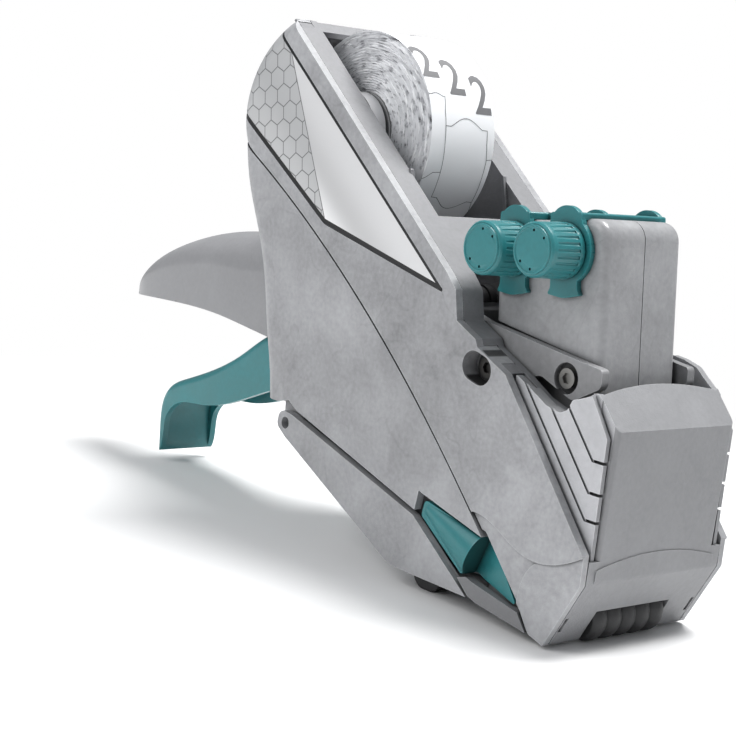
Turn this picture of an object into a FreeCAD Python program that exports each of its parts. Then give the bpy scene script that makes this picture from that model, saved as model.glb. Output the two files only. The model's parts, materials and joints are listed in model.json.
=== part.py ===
import FreeCAD, Part
import math
import os

# Two-line price labeler with its label roll.
# Millimetres. +X points to the nose where labels come out, +Z is up, and Y = 0 is the
# plane of symmetry. The side with the setting knobs is -Y. The origin lies on the
# flat underside of the rubber foot bar, in the middle of the width.

# Overall widths, all measured from the plane of symmetry
HALF_WIDTH = 25.0
SKIN = 2.2
FRAME_PLATE = 2.0
SEAM = 0.25
SIDE_GAP = 0.3
PIN_FIT = 0.05
HEAD_HALF = 13.0
HEAD_ARM_GAP = 0.5
ARM_THICK = 2.4
TRIGGER_ARM_THICK = 1.6
LABEL_HALF = 11.0

COVER_INNER = HALF_WIDTH - SKIN
FRAME_INNER = HEAD_HALF + HEAD_ARM_GAP + ARM_THICK + SIDE_GAP
FRAME_OUTER = FRAME_INNER + FRAME_PLATE
ARM_OUTER = FRAME_INNER - SIDE_GAP
ARM_INNER = ARM_OUTER - ARM_THICK
TRIGGER_ARM_OUTER = ARM_INNER - SIDE_GAP
TRIGGER_ARM_INNER = TRIGGER_ARM_OUTER - TRIGGER_ARM_THICK

# Axes that run across the labeler, as (x, z)
HEAD_PIVOT = (-22.5, 66.5)
TRIGGER_PIVOT = (-18.5, 40.0)
DRIVE_PIN = (7.5, 53.0)
APPLICATOR_AXLE = (42.0, 5.5)
INK_PIVOT = (44.5, 32.0)
INK_ROLLER_AXIS = (35.0, 20.0)
FLAP_HINGE = (-53.0, 29.5)
HOUSING_SCREW = (13.4, 57.0)

# Radii of pins and shafts
HEAD_PIVOT_R = 2.5
WELL_R = 3.5
WELL_STRETCH = 1.2
WELL_WALL = 1.2
WELL_DEPTH = 4.8
TRIGGER_PIVOT_R = 2.5
DRIVE_PIN_R = 2.0
APPLICATOR_AXLE_R = 1.25
INK_PIN_R = 1.5
SCREW_R = 1.25
FLAP_PIN_R = 1.5
FEED_SHAFT_R = 2.0
KNOB_SHAFT_R = 1.8

# Label path: a straight run down to the peel edge at the nose
PATH_ANGLE = math.radians(44.0)
PATH_FRONT = (38.2, 1.5)
STRIP_T = 0.2
HEAD_STROKE = 12.0
TRIGGER_SWING = 14.0
INK_SWING = -40.0
COVER_SWING = 50.0
FLAP_SWING = 55.0
TYPE_FACE_AT = 22.0

# Applicator roller
APPLICATOR_R = 5.5
APPLICATOR_RINGS = 5
APPLICATOR_RING_PITCH = 5.0

# Label roll, in a magazine whose back wall stands at a fixed place in the casing
ROLL_R = 25.8
ROLL_GAP = 3.0
MAGAZINE_WALL = 1.8
MAGAZINE_BACK = (-80.25, 94.83)
MAGAZINE_BACK_ANGLE = math.radians(200.0)
CORE_OUTER = 10.2
CORE_WALL = 1.5
MAGAZINE_R = ROLL_R + ROLL_GAP
ROLL_CENTRE = (
    MAGAZINE_BACK[0] - (MAGAZINE_R + MAGAZINE_WALL) * math.cos(MAGAZINE_BACK_ANGLE),
    MAGAZINE_BACK[1] - (MAGAZINE_R + MAGAZINE_WALL) * math.sin(MAGAZINE_BACK_ANGLE),
)

# Gear drive from the trigger to the feed wheel
MODULE = 1.0
SECTOR_TEETH = 58
PINION_TEETH = 13
GEAR_BACKLASH = 0.12
FEED_WHEEL_R = 7.2
FEED_AXIS_BELOW = math.radians(43.3)

# Print head, in its own upright frame that leans back
HEAD_DATUM = (40.0, 57.5)
HEAD_LEAN = 6.6
HEAD_DEPTH = 33.2
HEAD_TOP = 37.1
HEAD_WALL = 1.6
KNOB_Z = 29.8
FRONT_KNOB_INSET = 10.9
REAR_KNOB_INSET = 6.5
KNOB_GAP = 2.8
KNOB_FACE = HALF_WIDTH + 0.2
KNOB_RIBS = 26
YOKE_T = 1.4
YOKE_RISE = 1.3
TYPE_CHEEK = 1.6
TYPE_SIDE_ROOM = 1.0
BAND_COUNT = 8
BAND_GAP = 0.3
BAND_T = 0.7
BAND_WHEEL_R = 3.9
FRONT_KNOB_X = -FRONT_KNOB_INSET
REAR_KNOB_X = REAR_KNOB_INSET - HEAD_DEPTH
KNOB_R = (FRONT_KNOB_X - REAR_KNOB_X - KNOB_GAP) / 2.0
BAND_FIELD_HALF = HEAD_HALF - HEAD_WALL - TYPE_CHEEK - TYPE_SIDE_ROOM
BAND_PITCH = 2.0 * BAND_FIELD_HALF / BAND_COUNT
BAND_WIDTH = BAND_PITCH - BAND_GAP

# Foot bar
FOOT_HALF = 4.7
FOOT_TOP = 4.6
FOOT_FLAT = 1.5
FOOT_WIDTH_HALF = 19.5

GEAR_CENTRE = MODULE * (SECTOR_TEETH + PINION_TEETH) / 2.0
FEED_AXIS = (
    TRIGGER_PIVOT[0] + GEAR_CENTRE * math.cos(FEED_AXIS_BELOW),
    TRIGGER_PIVOT[1] - GEAR_CENTRE * math.sin(FEED_AXIS_BELOW),
)

ALONG = (math.cos(PATH_ANGLE), -math.sin(PATH_ANGLE))
ABOVE = (math.sin(PATH_ANGLE), math.cos(PATH_ANGLE))


# Small helpers for points, outlines and solids


def vec(x, z, y=0.0):
    return FreeCAD.Vector(x, y, z)


def path_point(back, above=0.0):
    """A point on the label path: distance back from its front end, and height above it."""
    return (
        PATH_FRONT[0] - back * ALONG[0] + above * ABOVE[0],
        PATH_FRONT[1] - back * ALONG[1] + above * ABOVE[1],
    )


def turned(point, centre, degrees):
    """Turn a point about a cross axis, nose side down for positive angles."""
    a = math.radians(degrees)
    dx, dz = point[0] - centre[0], point[1] - centre[1]
    return (
        centre[0] + dx * math.cos(a) + dz * math.sin(a),
        centre[1] - dx * math.sin(a) + dz * math.cos(a),
    )


def away(a, b, distance):
    """The point at a given distance from a, towards b."""
    length = math.hypot(b[0] - a[0], b[1] - a[1])
    return (a[0] + (b[0] - a[0]) * distance / length, a[1] + (b[1] - a[1]) * distance / length)


def corner_edges(points):
    """Edges of a closed outline. Each point is (x, z) or (x, z, corner radius)."""
    count = len(points)
    starts, edges = [], []
    for i, point in enumerate(points):
        here = (point[0], point[1])
        radius = point[2] if len(point) > 2 else 0.0
        before = points[i - 1][:2]
        after = points[(i + 1) % count][:2]
        if radius <= 0.0:
            starts.append((here, here))
            continue
        u = away(here, before, 1.0)
        v = away(here, after, 1.0)
        ux, uz = u[0] - here[0], u[1] - here[1]
        vx, vz = v[0] - here[0], v[1] - here[1]
        half = math.acos(max(-1.0, min(1.0, ux * vx + uz * vz))) / 2.0
        cut = radius / math.tan(half)
        first = (here[0] + ux * cut, here[1] + uz * cut)
        last = (here[0] + vx * cut, here[1] + vz * cut)
        length = math.hypot(ux + vx, uz + vz)
        reach = radius / math.sin(half) - radius
        middle = (here[0] + (ux + vx) / length * reach, here[1] + (uz + vz) / length * reach)
        edges.append((i, Part.Arc(vec(*first), vec(*middle), vec(*last)).toShape()))
        starts.append((first, last))
    ordered = []
    arcs = dict(edges)
    for i in range(count):
        if i in arcs:
            ordered.append(arcs[i])
        start = starts[i][1]
        end = starts[(i + 1) % count][0]
        if math.hypot(end[0] - start[0], end[1] - start[1]) > 1e-6:
            ordered.append(Part.LineSegment(vec(*start), vec(*end)).toShape())
    return ordered


def extrude_edges(edges, y0, y1):
    wire = Part.Wire(Part.__sortEdges__(edges))
    face = Part.Face(wire)
    face.translate(FreeCAD.Vector(0, y0, 0))
    return face.extrude(FreeCAD.Vector(0, y1 - y0, 0))


def plate(points, y0, y1):
    """A plate with a cornered outline in XZ, between two widths."""
    return extrude_edges(corner_edges(points), y0, y1)


def both_sides(shape):
    """The shape and its mirror image across the plane of symmetry."""
    return [shape, mirrored(shape)]


def mirrored(shape):
    return shape.mirror(FreeCAD.Vector(0, 0, 0), FreeCAD.Vector(0, 1, 0))


def rod(centre, radius, y0, y1):
    """A round bar across the labeler."""
    return Part.makeCylinder(radius, y1 - y0, vec(centre[0], centre[1], y0), FreeCAD.Vector(0, 1, 0))


def ring(centre, outer, inner, y0, y1):
    return rod(centre, outer, y0, y1).cut(rod(centre, inner, y0 - 1, y1 + 1))


def box(x0, x1, y0, y1, z0, z1):
    return Part.makeBox(x1 - x0, y1 - y0, z1 - z0, FreeCAD.Vector(x0, y0, z0))


def slot(a, b, radius, y0, y1):
    """A stadium-shaped bar from a to b."""
    dx, dz = b[0] - a[0], b[1] - a[1]
    length = math.hypot(dx, dz)
    nx, nz = -dz / length * radius, dx / length * radius
    ends = [(a[0] + nx, a[1] + nz), (b[0] + nx, b[1] + nz), (b[0] - nx, b[1] - nz), (a[0] - nx, a[1] - nz)]
    bar = plate(ends, y0, y1)
    return bar.fuse([rod(a, radius, y0, y1), rod(b, radius, y0, y1)]).removeSplitter()


def spline(points):
    curve = Part.BSplineCurve()
    curve.interpolate([vec(*p) for p in points])
    return curve.toShape()


def line(a, b):
    return Part.LineSegment(vec(*a), vec(*b)).toShape()


def poly(points):
    return [line(a, b) for a, b in zip(points, points[1:])]


def fuse_all(shapes):
    result = shapes[0]
    if len(shapes) > 1:
        result = result.fuse(shapes[1:])
    return result.removeSplitter()


def from_head(shape):
    """Move a shape from the print head's upright frame to where the head stands."""
    moved = shape.copy()
    moved.rotate(FreeCAD.Vector(0, 0, 0), FreeCAD.Vector(0, 1, 0), -HEAD_LEAN)
    moved.translate(vec(*HEAD_DATUM))
    return moved


def head_point(x, z):
    a = math.radians(HEAD_LEAN)
    return (
        HEAD_DATUM[0] + x * math.cos(a) - z * math.sin(a),
        HEAD_DATUM[1] + x * math.sin(a) + z * math.cos(a),
    )


def in_head(point):
    a = math.radians(HEAD_LEAN)
    dx, dz = point[0] - HEAD_DATUM[0], point[1] - HEAD_DATUM[1]
    return (dx * math.cos(a) + dz * math.sin(a), -dx * math.sin(a) + dz * math.cos(a))


# Outlines of the casing, as seen from the side

RIM_TOP = (-68.7, 132.0)
RIM_FOOT = (0.3, 76.7)
STEP_POINTS = [(3.6, 73.4), (5.2, 66.5), (11.9, 63.4), (12.8, 61.7)]
STEP_RADII = (2.5, 1.5, 0.8, 1.2)
SHOULDER = (22.5, 57.4)
NOSE_UPPER = (51.8, 23.6)
NOSE_LOWER = (51.8, 16.8)
NOSE_TIP = (43.5, 0.9)
BACK_UPPER = [(-85.0, 100.4), (-86.2, 107.5), (-83.0, 118.8), (-77.0, 126.4), RIM_TOP]
PARTING = [(-85.0, 100.4), (-50.8, 80.7), (-11.9, 51.7), (21.9, 19.9), (39.0, 2.1)]
BACK_LOWER = [(-84.6, 99.6), (-81.6, 88.2), (-75.8, 76.3), (-71.4, 65.6), (-67.6, 50.8), (-65.6, 44.0)]
HOUSING_HEEL = [(-65.6, 44.0), (-62.4, 41.4), (-61.8, 34.4)]
CORNER_R = 5.0

# Soft step that sets the nose end of a side cover back below a curved line
NOSE_STEP = [(17.6, 24.6), (24.4, 23.4), (30.9, 20.3), (37.8, 18.6), (46.3, 20.3), (54.0, 24.6)]
NOSE_STEP_DEPTH = 0.5
NOSE_CREASE = [(39.3, 18.7), (37.2, 17.2), (35.3, 14.2), (34.3, 10.2), (34.6, 4.0)]
NOSE_CREASE_DEPTH = 0.9


def shifted(points, dx, dz):
    return [(p[0] + dx, p[1] + dz) + tuple(p[2:]) for p in points]


def cover_outline(inset):
    """Closed outline of an upper side cover, its back edge drawn in by the inset."""
    back = shifted(BACK_UPPER, inset, 0.0)
    front = [back[-1], RIM_FOOT] + STEP_POINTS
    front += [SHOULDER, NOSE_UPPER, NOSE_LOWER, NOSE_TIP, PARTING[-1]]
    edges = [spline(back)]
    edges += poly(front)
    edges += [spline([back[0]] + PARTING[1:])]
    return edges


def cover_block(inset):
    """Solid of an upper side cover's outside, with its rounded back corner."""
    block = extrude_edges(cover_outline(inset), FRAME_OUTER + SEAM, HALF_WIDTH - inset)
    back_edges = []
    for edge in block.Edges:
        middle = edge.valueAt((edge.FirstParameter + edge.LastParameter) / 2.0)
        outer = abs(middle.y - (HALF_WIDTH - inset)) < 1e-4
        if outer and middle.x < RIM_TOP[0] and middle.z > BACK_UPPER[0][1]:
            back_edges.append(edge)
    wall = HALF_WIDTH - FRAME_OUTER - SEAM
    return block.makeFillet(min(CORNER_R, wall - 0.5) - inset, back_edges)


STICKER = [
    (-72.6, 129.0, 0.8),
    (-98.0, 121.0),
    (-98.0, 105.2),
    (-82.9, 105.2, 0.8),
    (-46.2, 82.3, 4.0),
    (0.2, 72.0, 0.4),
]
STICKER_DEPTH = 0.45
STICKER_GAP = 0.3


def sticker_prism(grow):
    """Column over the sticker field. A positive grow widens it on every side."""
    points = []
    centre = (-55.0, 103.0)
    for x, z, *radius in STICKER:
        reach = math.hypot(x - centre[0], z - centre[1])
        factor = (reach + grow * 1.3) / reach
        points.append((centre[0] + (x - centre[0]) * factor, centre[1] + (z - centre[1]) * factor, *radius))
    return plate(points, FRAME_OUTER, HALF_WIDTH + 5.0)


def side_cover():
    """Upper side cover of the -Y side when mirrored: skin, back wall and screw well."""
    block = cover_block(0.0)
    inner_back = shifted(BACK_UPPER, SKIN, 0.0)
    round_inside = [inner_back[-1], (0.0, 150.0), (90.0, 60.0), (90.0, -20.0), (30.0, -20.0), inner_back[0]]
    pocket = extrude_edges([spline(inner_back)] + poly(round_inside), FRAME_OUTER, COVER_INNER)
    cover = block.cut(pocket)
    well = well_bar(WELL_WALL, FRAME_OUTER + SEAM, HALF_WIDTH - SKIN / 2.0)
    cover = cover.fuse(well.common(block))
    cover = cover.cut(well_bar(0.0, HALF_WIDTH - WELL_DEPTH, HALF_WIDTH + 1.0))
    cover = cover.cut(rod(HOUSING_SCREW, SCREW_R + 0.4, FRAME_OUTER - 1.0, HALF_WIDTH))
    cover = cover.cut(sticker_prism(STICKER_GAP).common(block.cut(cover_block(STICKER_DEPTH))))
    cover = cover.cut(nose_step())
    return cover.cut(flap_side_area()).removeSplitter()


def well_bar(grow, y0, y1):
    """Upright space of the oval screw well, or its wall with a positive grow."""
    x, z = HOUSING_SCREW
    ends = ((x - WELL_STRETCH, z + 0.3), (x + WELL_STRETCH, z - 0.3))
    return slot(ends[0], ends[1], WELL_R + grow, y0, y1)


def nose_step():
    """What the nose end of a side cover is set back by: a shallow step and a deeper one."""
    below = [NOSE_STEP[-1], (54.0, -4.0), (20.0, -4.0), (14.0, 16.0), NOSE_STEP[0]]
    edges = [spline(NOSE_STEP)] + poly(below)
    shallow = extrude_edges(edges, HALF_WIDTH - NOSE_STEP_DEPTH, HALF_WIDTH + 1.0)
    behind = [NOSE_CREASE[-1], (14.0, 4.0), (14.0, 30.0), (NOSE_CREASE[0][0], 30.0), NOSE_CREASE[0]]
    edges = [spline(NOSE_CREASE)] + poly(behind)
    deep = extrude_edges(edges, HALF_WIDTH - NOSE_CREASE_DEPTH, HALF_WIDTH + 1.0)
    lower = shallow.copy()
    lower.translate(FreeCAD.Vector(0, NOSE_STEP_DEPTH - NOSE_CREASE_DEPTH, 0))
    return shallow.fuse(deep.common(lower))


def sticker():
    """Thin printed panel that wraps round the back corner of a side cover."""
    layer = cover_block(0.05).cut(cover_block(STICKER_DEPTH - 0.03))
    return sticker_prism(0.0).common(layer)


# Latch field, base and bottom flap

FLAP_SLOT = [(-0.8, 19.2), (18.9, 4.6)]
FLAP_SEAM_REAR = (-49.0, 33.6)


def flap_side_area():
    """Region below and in front of the parting line that other pieces fill."""
    points = [(-1.6, 19.6), (-1.0, 25.0), (22.0, 20.9), (35.8, 6.3), (39.2, 1.5), (36.0, -6.0), (-30.0, -6.0)]
    return plate(points, FRAME_OUTER, HALF_WIDTH + 2.0)


def housing_outline():
    top = [(p[0] - 0.36, p[1] - 0.36) for p in PARTING[:-1]]
    top[0] = BACK_LOWER[0]
    down_front = [top[-1], (21.2, 20.7), (-0.6, 24.8), (-1.3, 20.2), (-1.3, 20.0), FLAP_SEAM_REAR]
    heel = [FLAP_SEAM_REAR, (-52.6, 35.6), (-57.0, 34.4), HOUSING_HEEL[-1]]
    edges = [spline(top)]
    edges += poly([down_front[0]] + down_front[2:5] + [down_front[5]])
    edges += poly(heel)
    edges += [line(HOUSING_HEEL[2], HOUSING_HEEL[1]), line(HOUSING_HEEL[1], HOUSING_HEEL[0])]
    edges += [spline(list(reversed(BACK_LOWER)))]
    return edges


HANDLE_HALF = 12.4
HANDLE_WALL = 1.6
HANDLE_ROOT_TOP = 74.6
TRIGGER_HALF = 9.6


def rear_housing():
    """Left half of the rear housing: side skin, back wall, bosses and flap hinge ear."""
    long_back = [(-85.6, 106.0)] + BACK_LOWER + [(-63.5, 34.0), (-61.6, 10.0)]
    front = [long_back[-1], (40.0, 10.0), (40.0, 106.0), long_back[0]]
    block = extrude_edges([spline(long_back)] + poly(front), SEAM / 2.0, HALF_WIDTH)
    back_edges = []
    for edge in block.Edges:
        middle = edge.valueAt((edge.FirstParameter + edge.LastParameter) / 2.0)
        if abs(middle.y - HALF_WIDTH) < 1e-4 and middle.x < -60.0:
            back_edges.append(edge)
    block = block.makeFillet(CORNER_R, back_edges)
    block = block.common(extrude_edges(housing_outline(), 0.0, HALF_WIDTH + 1.0))
    wall = shifted(BACK_LOWER, SKIN, 0.0)
    low = (HOUSING_HEEL[-1][0] + SKIN, 20.0)
    inside = [wall[-1], (low[0], wall[-1][1] - 3.0), low, (40.0, 0.0), (40.0, 120.0), wall[0]]
    pocket = extrude_edges([spline(wall)] + poly(inside), -1.0, COVER_INNER)
    shell = block.cut(pocket)
    # The middle of the back wall is open for the handle and the trigger
    shell = shell.cut(box(-90.0, -50.0, -1.0, HANDLE_HALF + 0.1, 20.0, HANDLE_ROOT_TOP + 0.1))
    ear_outline = [(-49.5, 34.5), (-57.5, 36.5), (-57.0, 27.0, 2.0), (-49.5, 27.0, 2.0)]
    hinge_ear = plate(ear_outline, HINGE_EAR_IN, HINGE_EAR_IN + 2.0)
    stay_outline = [(-58.0, 34.5), (-49.0, 34.5), (-49.0, 37.0), (-58.0, 38.5)]
    stay = plate(stay_outline, HINGE_EAR_IN, COVER_INNER + 0.5)
    shell = shell.fuse([hinge_ear, stay])
    for centre in HOUSING_BOSSES:
        shell = shell.fuse(ring(centre, 3.2, 1.3, FRAME_OUTER + SEAM, COVER_INNER + 0.4))
    shell = shell.cut(rod(FLAP_HINGE, FLAP_PIN_R + PIN_FIT, HINGE_EAR_IN - 1.0, COVER_INNER))
    return shell.removeSplitter()


HINGE_EAR_IN = COVER_INNER - 2.8
HOUSING_BOSSES = [(-60.0, 78.0), (-44.0, 44.0), (4.0, 27.5)]


def flap_outline(inset):
    return [
        (-1.6, 18.6 - inset),
        (FLAP_SLOT[1][0] - inset * 0.7, FLAP_SLOT[1][1] + inset),
        (-8.0, FOOT_TOP + inset, 12.0),
        (-52.5, 25.9 + inset, 3.0),
        (-56.4, 28.4, 2.0),
        (-55.6, 32.6, 2.0),
        (-51.0, 32.2),
    ]


def bottom_flap():
    """Underside cover that swings down about its rear hinge."""
    outer = plate(flap_outline(0.0), -HALF_WIDTH, HALF_WIDTH)
    inner = plate(
        [(8.0, 40.0), (30.0, 6.2), (-7.4, FOOT_TOP + 1.8, 10.0), (-50.5, 26.9), (-50.5, 50.0)],
        -COVER_INNER,
        COVER_INNER,
    )
    flap = outer.cut(inner)
    # Room for the trigger lever and the hinge ears of the housing
    barrel_end = HINGE_EAR_IN - 0.6
    for shape in both_sides(box(-60.0, -49.0, HINGE_EAR_IN - 0.4, COVER_INNER, 20.0, 40.0)):
        flap = flap.cut(shape)
    flap = flap.cut(box(-60.0, -48.0, -barrel_end, barrel_end, 29.8, 40.0))
    for side in both_sides(ring(FLAP_HINGE, 3.2, FLAP_PIN_R + PIN_FIT, 15.0, barrel_end)):
        flap = flap.fuse(side)
    flap = flap.cut(rod(FLAP_HINGE, FLAP_PIN_R + PIN_FIT, -HALF_WIDTH, HALF_WIDTH))
    # Brackets for the pressure roller
    for side in both_sides(bracket_plate()):
        flap = flap.fuse(side)
    flap = flap.cut(rod(PRESSURE_AXIS, 1.0 + PIN_FIT, -13.0, 13.0))
    return flap.removeSplitter()


PRESSURE_R = 2.6
PRESSURE_GAP = 0.4
PRESSURE_AXIS = away(FEED_AXIS, (-1.4, 10.4), FEED_WHEEL_R + PRESSURE_GAP + PRESSURE_R)


def bracket_plate():
    x, z = PRESSURE_AXIS
    base = FOOT_TOP + 1.0
    outline = [(x - 4.0, base), (x + 4.0, base), (x + 2.2, z + 2.0, 2.0), (x - 2.2, z + 2.0, 2.0)]
    return plate(outline, 9.8, 11.6)


def foot_bar():
    """Half-round rubber bar across the flap that the labeler stands on."""
    bulge = (FOOT_HALF * 0.86, FOOT_TOP * 0.36)
    front = [(FOOT_HALF, FOOT_TOP), bulge, (FOOT_FLAT, 0.0)]
    rear = [(-FOOT_FLAT, 0.0), (-bulge[0], bulge[1]), (-FOOT_HALF, FOOT_TOP)]
    edges = [Part.Arc(*[vec(*p) for p in side]).toShape() for side in (front, rear)]
    edges += [line(front[-1], rear[0]), line(rear[-1], front[0])]
    return extrude_edges(edges, -FOOT_WIDTH_HALF, FOOT_WIDTH_HALF)


def nose_base():
    """Fixed base behind the peel edge, with the narrow strips beside the latches."""
    side = [
        (15.4, 8.3),
        (18.2, 9.2),
        (20.2, 8.6),
        (35.2, 6.0, 0.5),
        (38.3, 2.3),
        (22.3, 4.2),
        (19.5, 5.0),
    ]
    walls = both_sides(plate(side, COVER_INNER, HALF_WIDTH))
    floor_outline = [(19.5, 5.0), (22.3, 4.2), (31.5, 3.1), (31.5, 4.5), (22.6, 6.0), (19.5, 6.8)]
    floor = plate(floor_outline, -COVER_INNER - 0.5, COVER_INNER + 0.5)
    rib = plate([(20.5, 5.5), (34.0, 4.0), (31.0, 7.0), (22.0, 9.0)], FRAME_OUTER + 0.2, FRAME_OUTER + 2.0)
    ribs = both_sides(rib)
    return fuse_all(walls + [floor] + ribs)


def latch_button():
    """Triangular press button with a swelling thumb piece whose front end is cut square."""
    back = FRAME_OUTER + LATCH_TRAVEL_ROOM
    top = HALF_WIDTH - 1.0
    body = plate(LATCH_OUTLINE, back, top)
    (x0, z0), (x, z) = LATCH_SWELL
    along = away((0.0, 0.0), (x - x0, z - z0), 1.0)
    across = (-along[1], along[0])
    # Thumb hollow in front of the swell, deepest at the swell's square end
    corners = [(x, back + 0.6, z), (x + along[0] * 20.0, top + 0.4, z + along[1] * 20.0), (x, top + 2.0, z)]
    points = [FreeCAD.Vector(a - across[0] * 15.0, b, c - across[1] * 15.0) for a, b, c in corners]
    hollow = Part.Face(Part.makePolygon(points + [points[0]]))
    body = body.cut(hollow.extrude(FreeCAD.Vector(across[0] * 30.0, 0, across[1] * 30.0)))
    length = math.hypot(x - x0, z - z0)
    swell = Part.makeCone(1.6, LATCH_SWELL_R, length, vec(*LATCH_SWELL[0]), vec(*along))
    flatten = FreeCAD.Matrix()
    flatten.scale(1.0, 0.6, 1.0)
    swell = swell.transformGeometry(flatten)
    swell.translate(FreeCAD.Vector(0, HALF_WIDTH - 1.6, 0))
    swell = swell.common(plate(LATCH_BULGE, back, HALF_WIDTH + 5.0))
    stem = rod(LATCH_STEM, 2.0, back - 0.5, back + 0.1)
    return fuse_all([body, swell, stem])


LATCH_OUTLINE = [
    (0.3, 19.0, 0.8),
    (1.0, 22.9, 1.0),
    (20.6, 19.4),
    (33.8, 6.8, 0.4),
    (20.6, 9.3),
    (18.2, 10.0),
    (15.4, 9.2),
]
LATCH_BULGE = [(0.0, 18.8), (0.6, 23.2), (22.4, 20.2), (22.4, 9.4), (18.2, 9.9), (15.2, 9.1)]
LATCH_SWELL = [(2.0, 21.0), (19.2, 14.3)]
LATCH_SWELL_R = 5.7
LATCH_STEM = (12.0, 17.0)
LATCH_TRAVEL_ROOM = 2.2


# Main frame: two side plates with the magazine, rim, sill and cross walls

RIM_DIR = away((0.0, 0.0), (RIM_FOOT[0] - RIM_TOP[0], RIM_FOOT[1] - RIM_TOP[1]), 1.0)
RIM_NORMAL = (-RIM_DIR[1], RIM_DIR[0])
SILL_TOP_BACK = 18.7
SILL_T = 1.7
SILL_LIP = 6.0
RIM_T = 2.2
RIM_LENGTH = math.hypot(RIM_TOP[0] - RIM_FOOT[0], RIM_TOP[1] - RIM_FOOT[1])
FLANGE_START = RIM_LENGTH - SKIN / RIM_DIR[0] - SEAM


def rim_point(back, below=0.0):
    """A point on the rim line: distance up the slope from its foot, and depth below it."""
    return (
        RIM_FOOT[0] - RIM_DIR[0] * back - RIM_NORMAL[0] * below,
        RIM_FOOT[1] - RIM_DIR[1] * back - RIM_NORMAL[1] * below,
    )


def step_corners():
    """The stepped front edge with its rounded corners, shared by covers and frame."""
    return [(x, z, r) for (x, z), r in zip(STEP_POINTS, STEP_RADII)]


def frame_side_outline():
    return [RIM_TOP, RIM_FOOT] + step_corners() + [
        (22.6, 57.2, 3.0),
        (29.5, 53.4, 4.0),
        (35.5, 51.6, 4.0),
        (44.0, 51.4, 4.0),
        (47.4, 40.0, 4.0),
        (47.4, 22.0, 4.0),
        (38.6, 9.6, 1.5),
        (31.0, 10.0),
        (22.5, 8.4),
        (14.0, 8.4),
        (-2.0, 12.0, 6.0),
        (-30.0, 31.0, 6.0),
        (-36.0, 56.0, 10.0),
        (-60.0, 76.0, 10.0),
        (-80.2, 98.0, 4.0),
        (-83.0, 108.0, 8.0),
        (-80.0, 119.0, 8.0),
    ]


def main_frame():
    """Centre moulding that carries every axle."""
    side = plate(frame_side_outline(), FRAME_INNER, FRAME_OUTER)
    finger = slot((35.5, 12.5), APPLICATOR_AXLE, 2.5, FRAME_INNER, FRAME_OUTER)
    side = side.fuse(finger)
    low = [rim_point(1.0, RIM_T), rim_point(FLANGE_START - 0.8, RIM_T)]
    flange = plate(
        [rim_point(FLANGE_START), rim_point(0.0)] + low,
        FRAME_OUTER - 0.5,
        COVER_INNER - 0.1,
    )
    under_step = [
        (22.0, 57.4),
        (21.0, 56.0),
        (12.0, 60.1),
        (10.4, 61.9),
        (3.6, 64.7, 1.0),
        (1.7, 72.4),
        rim_point(0.6, RIM_T),
        rim_point(3.0, RIM_T),
    ]
    step_flange = plate(
        [rim_point(3.0), rim_point(0.0)] + step_corners() + under_step,
        FRAME_OUTER - 0.5,
        COVER_INNER - 0.1,
    )
    step_flange = step_flange.cut(well_bar(WELL_WALL + 0.15, FRAME_OUTER, HALF_WIDTH))
    sides = []
    for shape in (side, flange, step_flange):
        sides += both_sides(shape)
    sill_back = SILL_TOP_BACK - SILL_T
    sill = plate(
        [
            rim_point(SILL_TOP_BACK),
            rim_point(0.6),
            rim_point(1.6, SILL_T),
            rim_point(sill_back, SILL_T),
            rim_point(sill_back, SILL_LIP),
            rim_point(SILL_TOP_BACK, SILL_LIP),
        ],
        -FRAME_INNER - 0.5,
        FRAME_INNER + 0.5,
    )
    back = magazine_back()
    frame = fuse_all(sides + [sill, back] + magazine_ribs() + frame_ties())
    for centre, radius in (
        (HEAD_PIVOT, HEAD_PIVOT_R),
        (TRIGGER_PIVOT, TRIGGER_PIVOT_R),
        (FEED_AXIS, FEED_SHAFT_R),
        (APPLICATOR_AXLE, APPLICATOR_AXLE_R),
    ):
        frame = frame.cut(rod(centre, radius + PIN_FIT, -FRAME_OUTER - 1.0, FRAME_OUTER + 1.0))
    frame = frame.cut(rod(INK_PIVOT, INK_PIN_R + PIN_FIT, -FRAME_OUTER - 1.0, FRAME_OUTER + 1.0))
    frame = frame.cut(rod(HOUSING_SCREW, SCREW_R + PIN_FIT, -FRAME_OUTER - 1.0, FRAME_OUTER + 1.0))
    for shape in both_sides(rod(ROLL_CENTRE, HUB_STEM_R + 0.03, FRAME_INNER - 1.0, FRAME_OUTER + 1.0)):
        frame = frame.cut(shape)
    return frame.removeSplitter()


HUB_STEM_R = 4.0


def magazine_back():
    """Curved wall behind the label roll, closed at the top edge of the rim."""
    x, z = ROLL_CENTRE
    corners = []
    for radius in (MAGAZINE_R, MAGAZINE_R + MAGAZINE_WALL):
        row = []
        for degrees in (128.0, 190.0, 252.0):
            t = math.radians(degrees)
            row.append((x + radius * math.cos(t), z + radius * math.sin(t)))
        corners.append(row)
    inner, outer = corners
    cap_end = RIM_LENGTH - 4.0
    cap = [rim_point(RIM_LENGTH - 0.4, 0.05), rim_point(cap_end, 0.05), rim_point(cap_end, MAGAZINE_WALL)]
    edges = [Part.Arc(vec(*outer[2]), vec(*outer[1]), vec(*outer[0])).toShape()]
    edges += poly([outer[0]] + cap + [inner[0]])
    edges += [Part.Arc(vec(*inner[0]), vec(*inner[1]), vec(*inner[2])).toShape(), line(inner[2], outer[2])]
    return extrude_edges(edges, -FRAME_INNER - 0.5, FRAME_INNER + 0.5)


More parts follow.
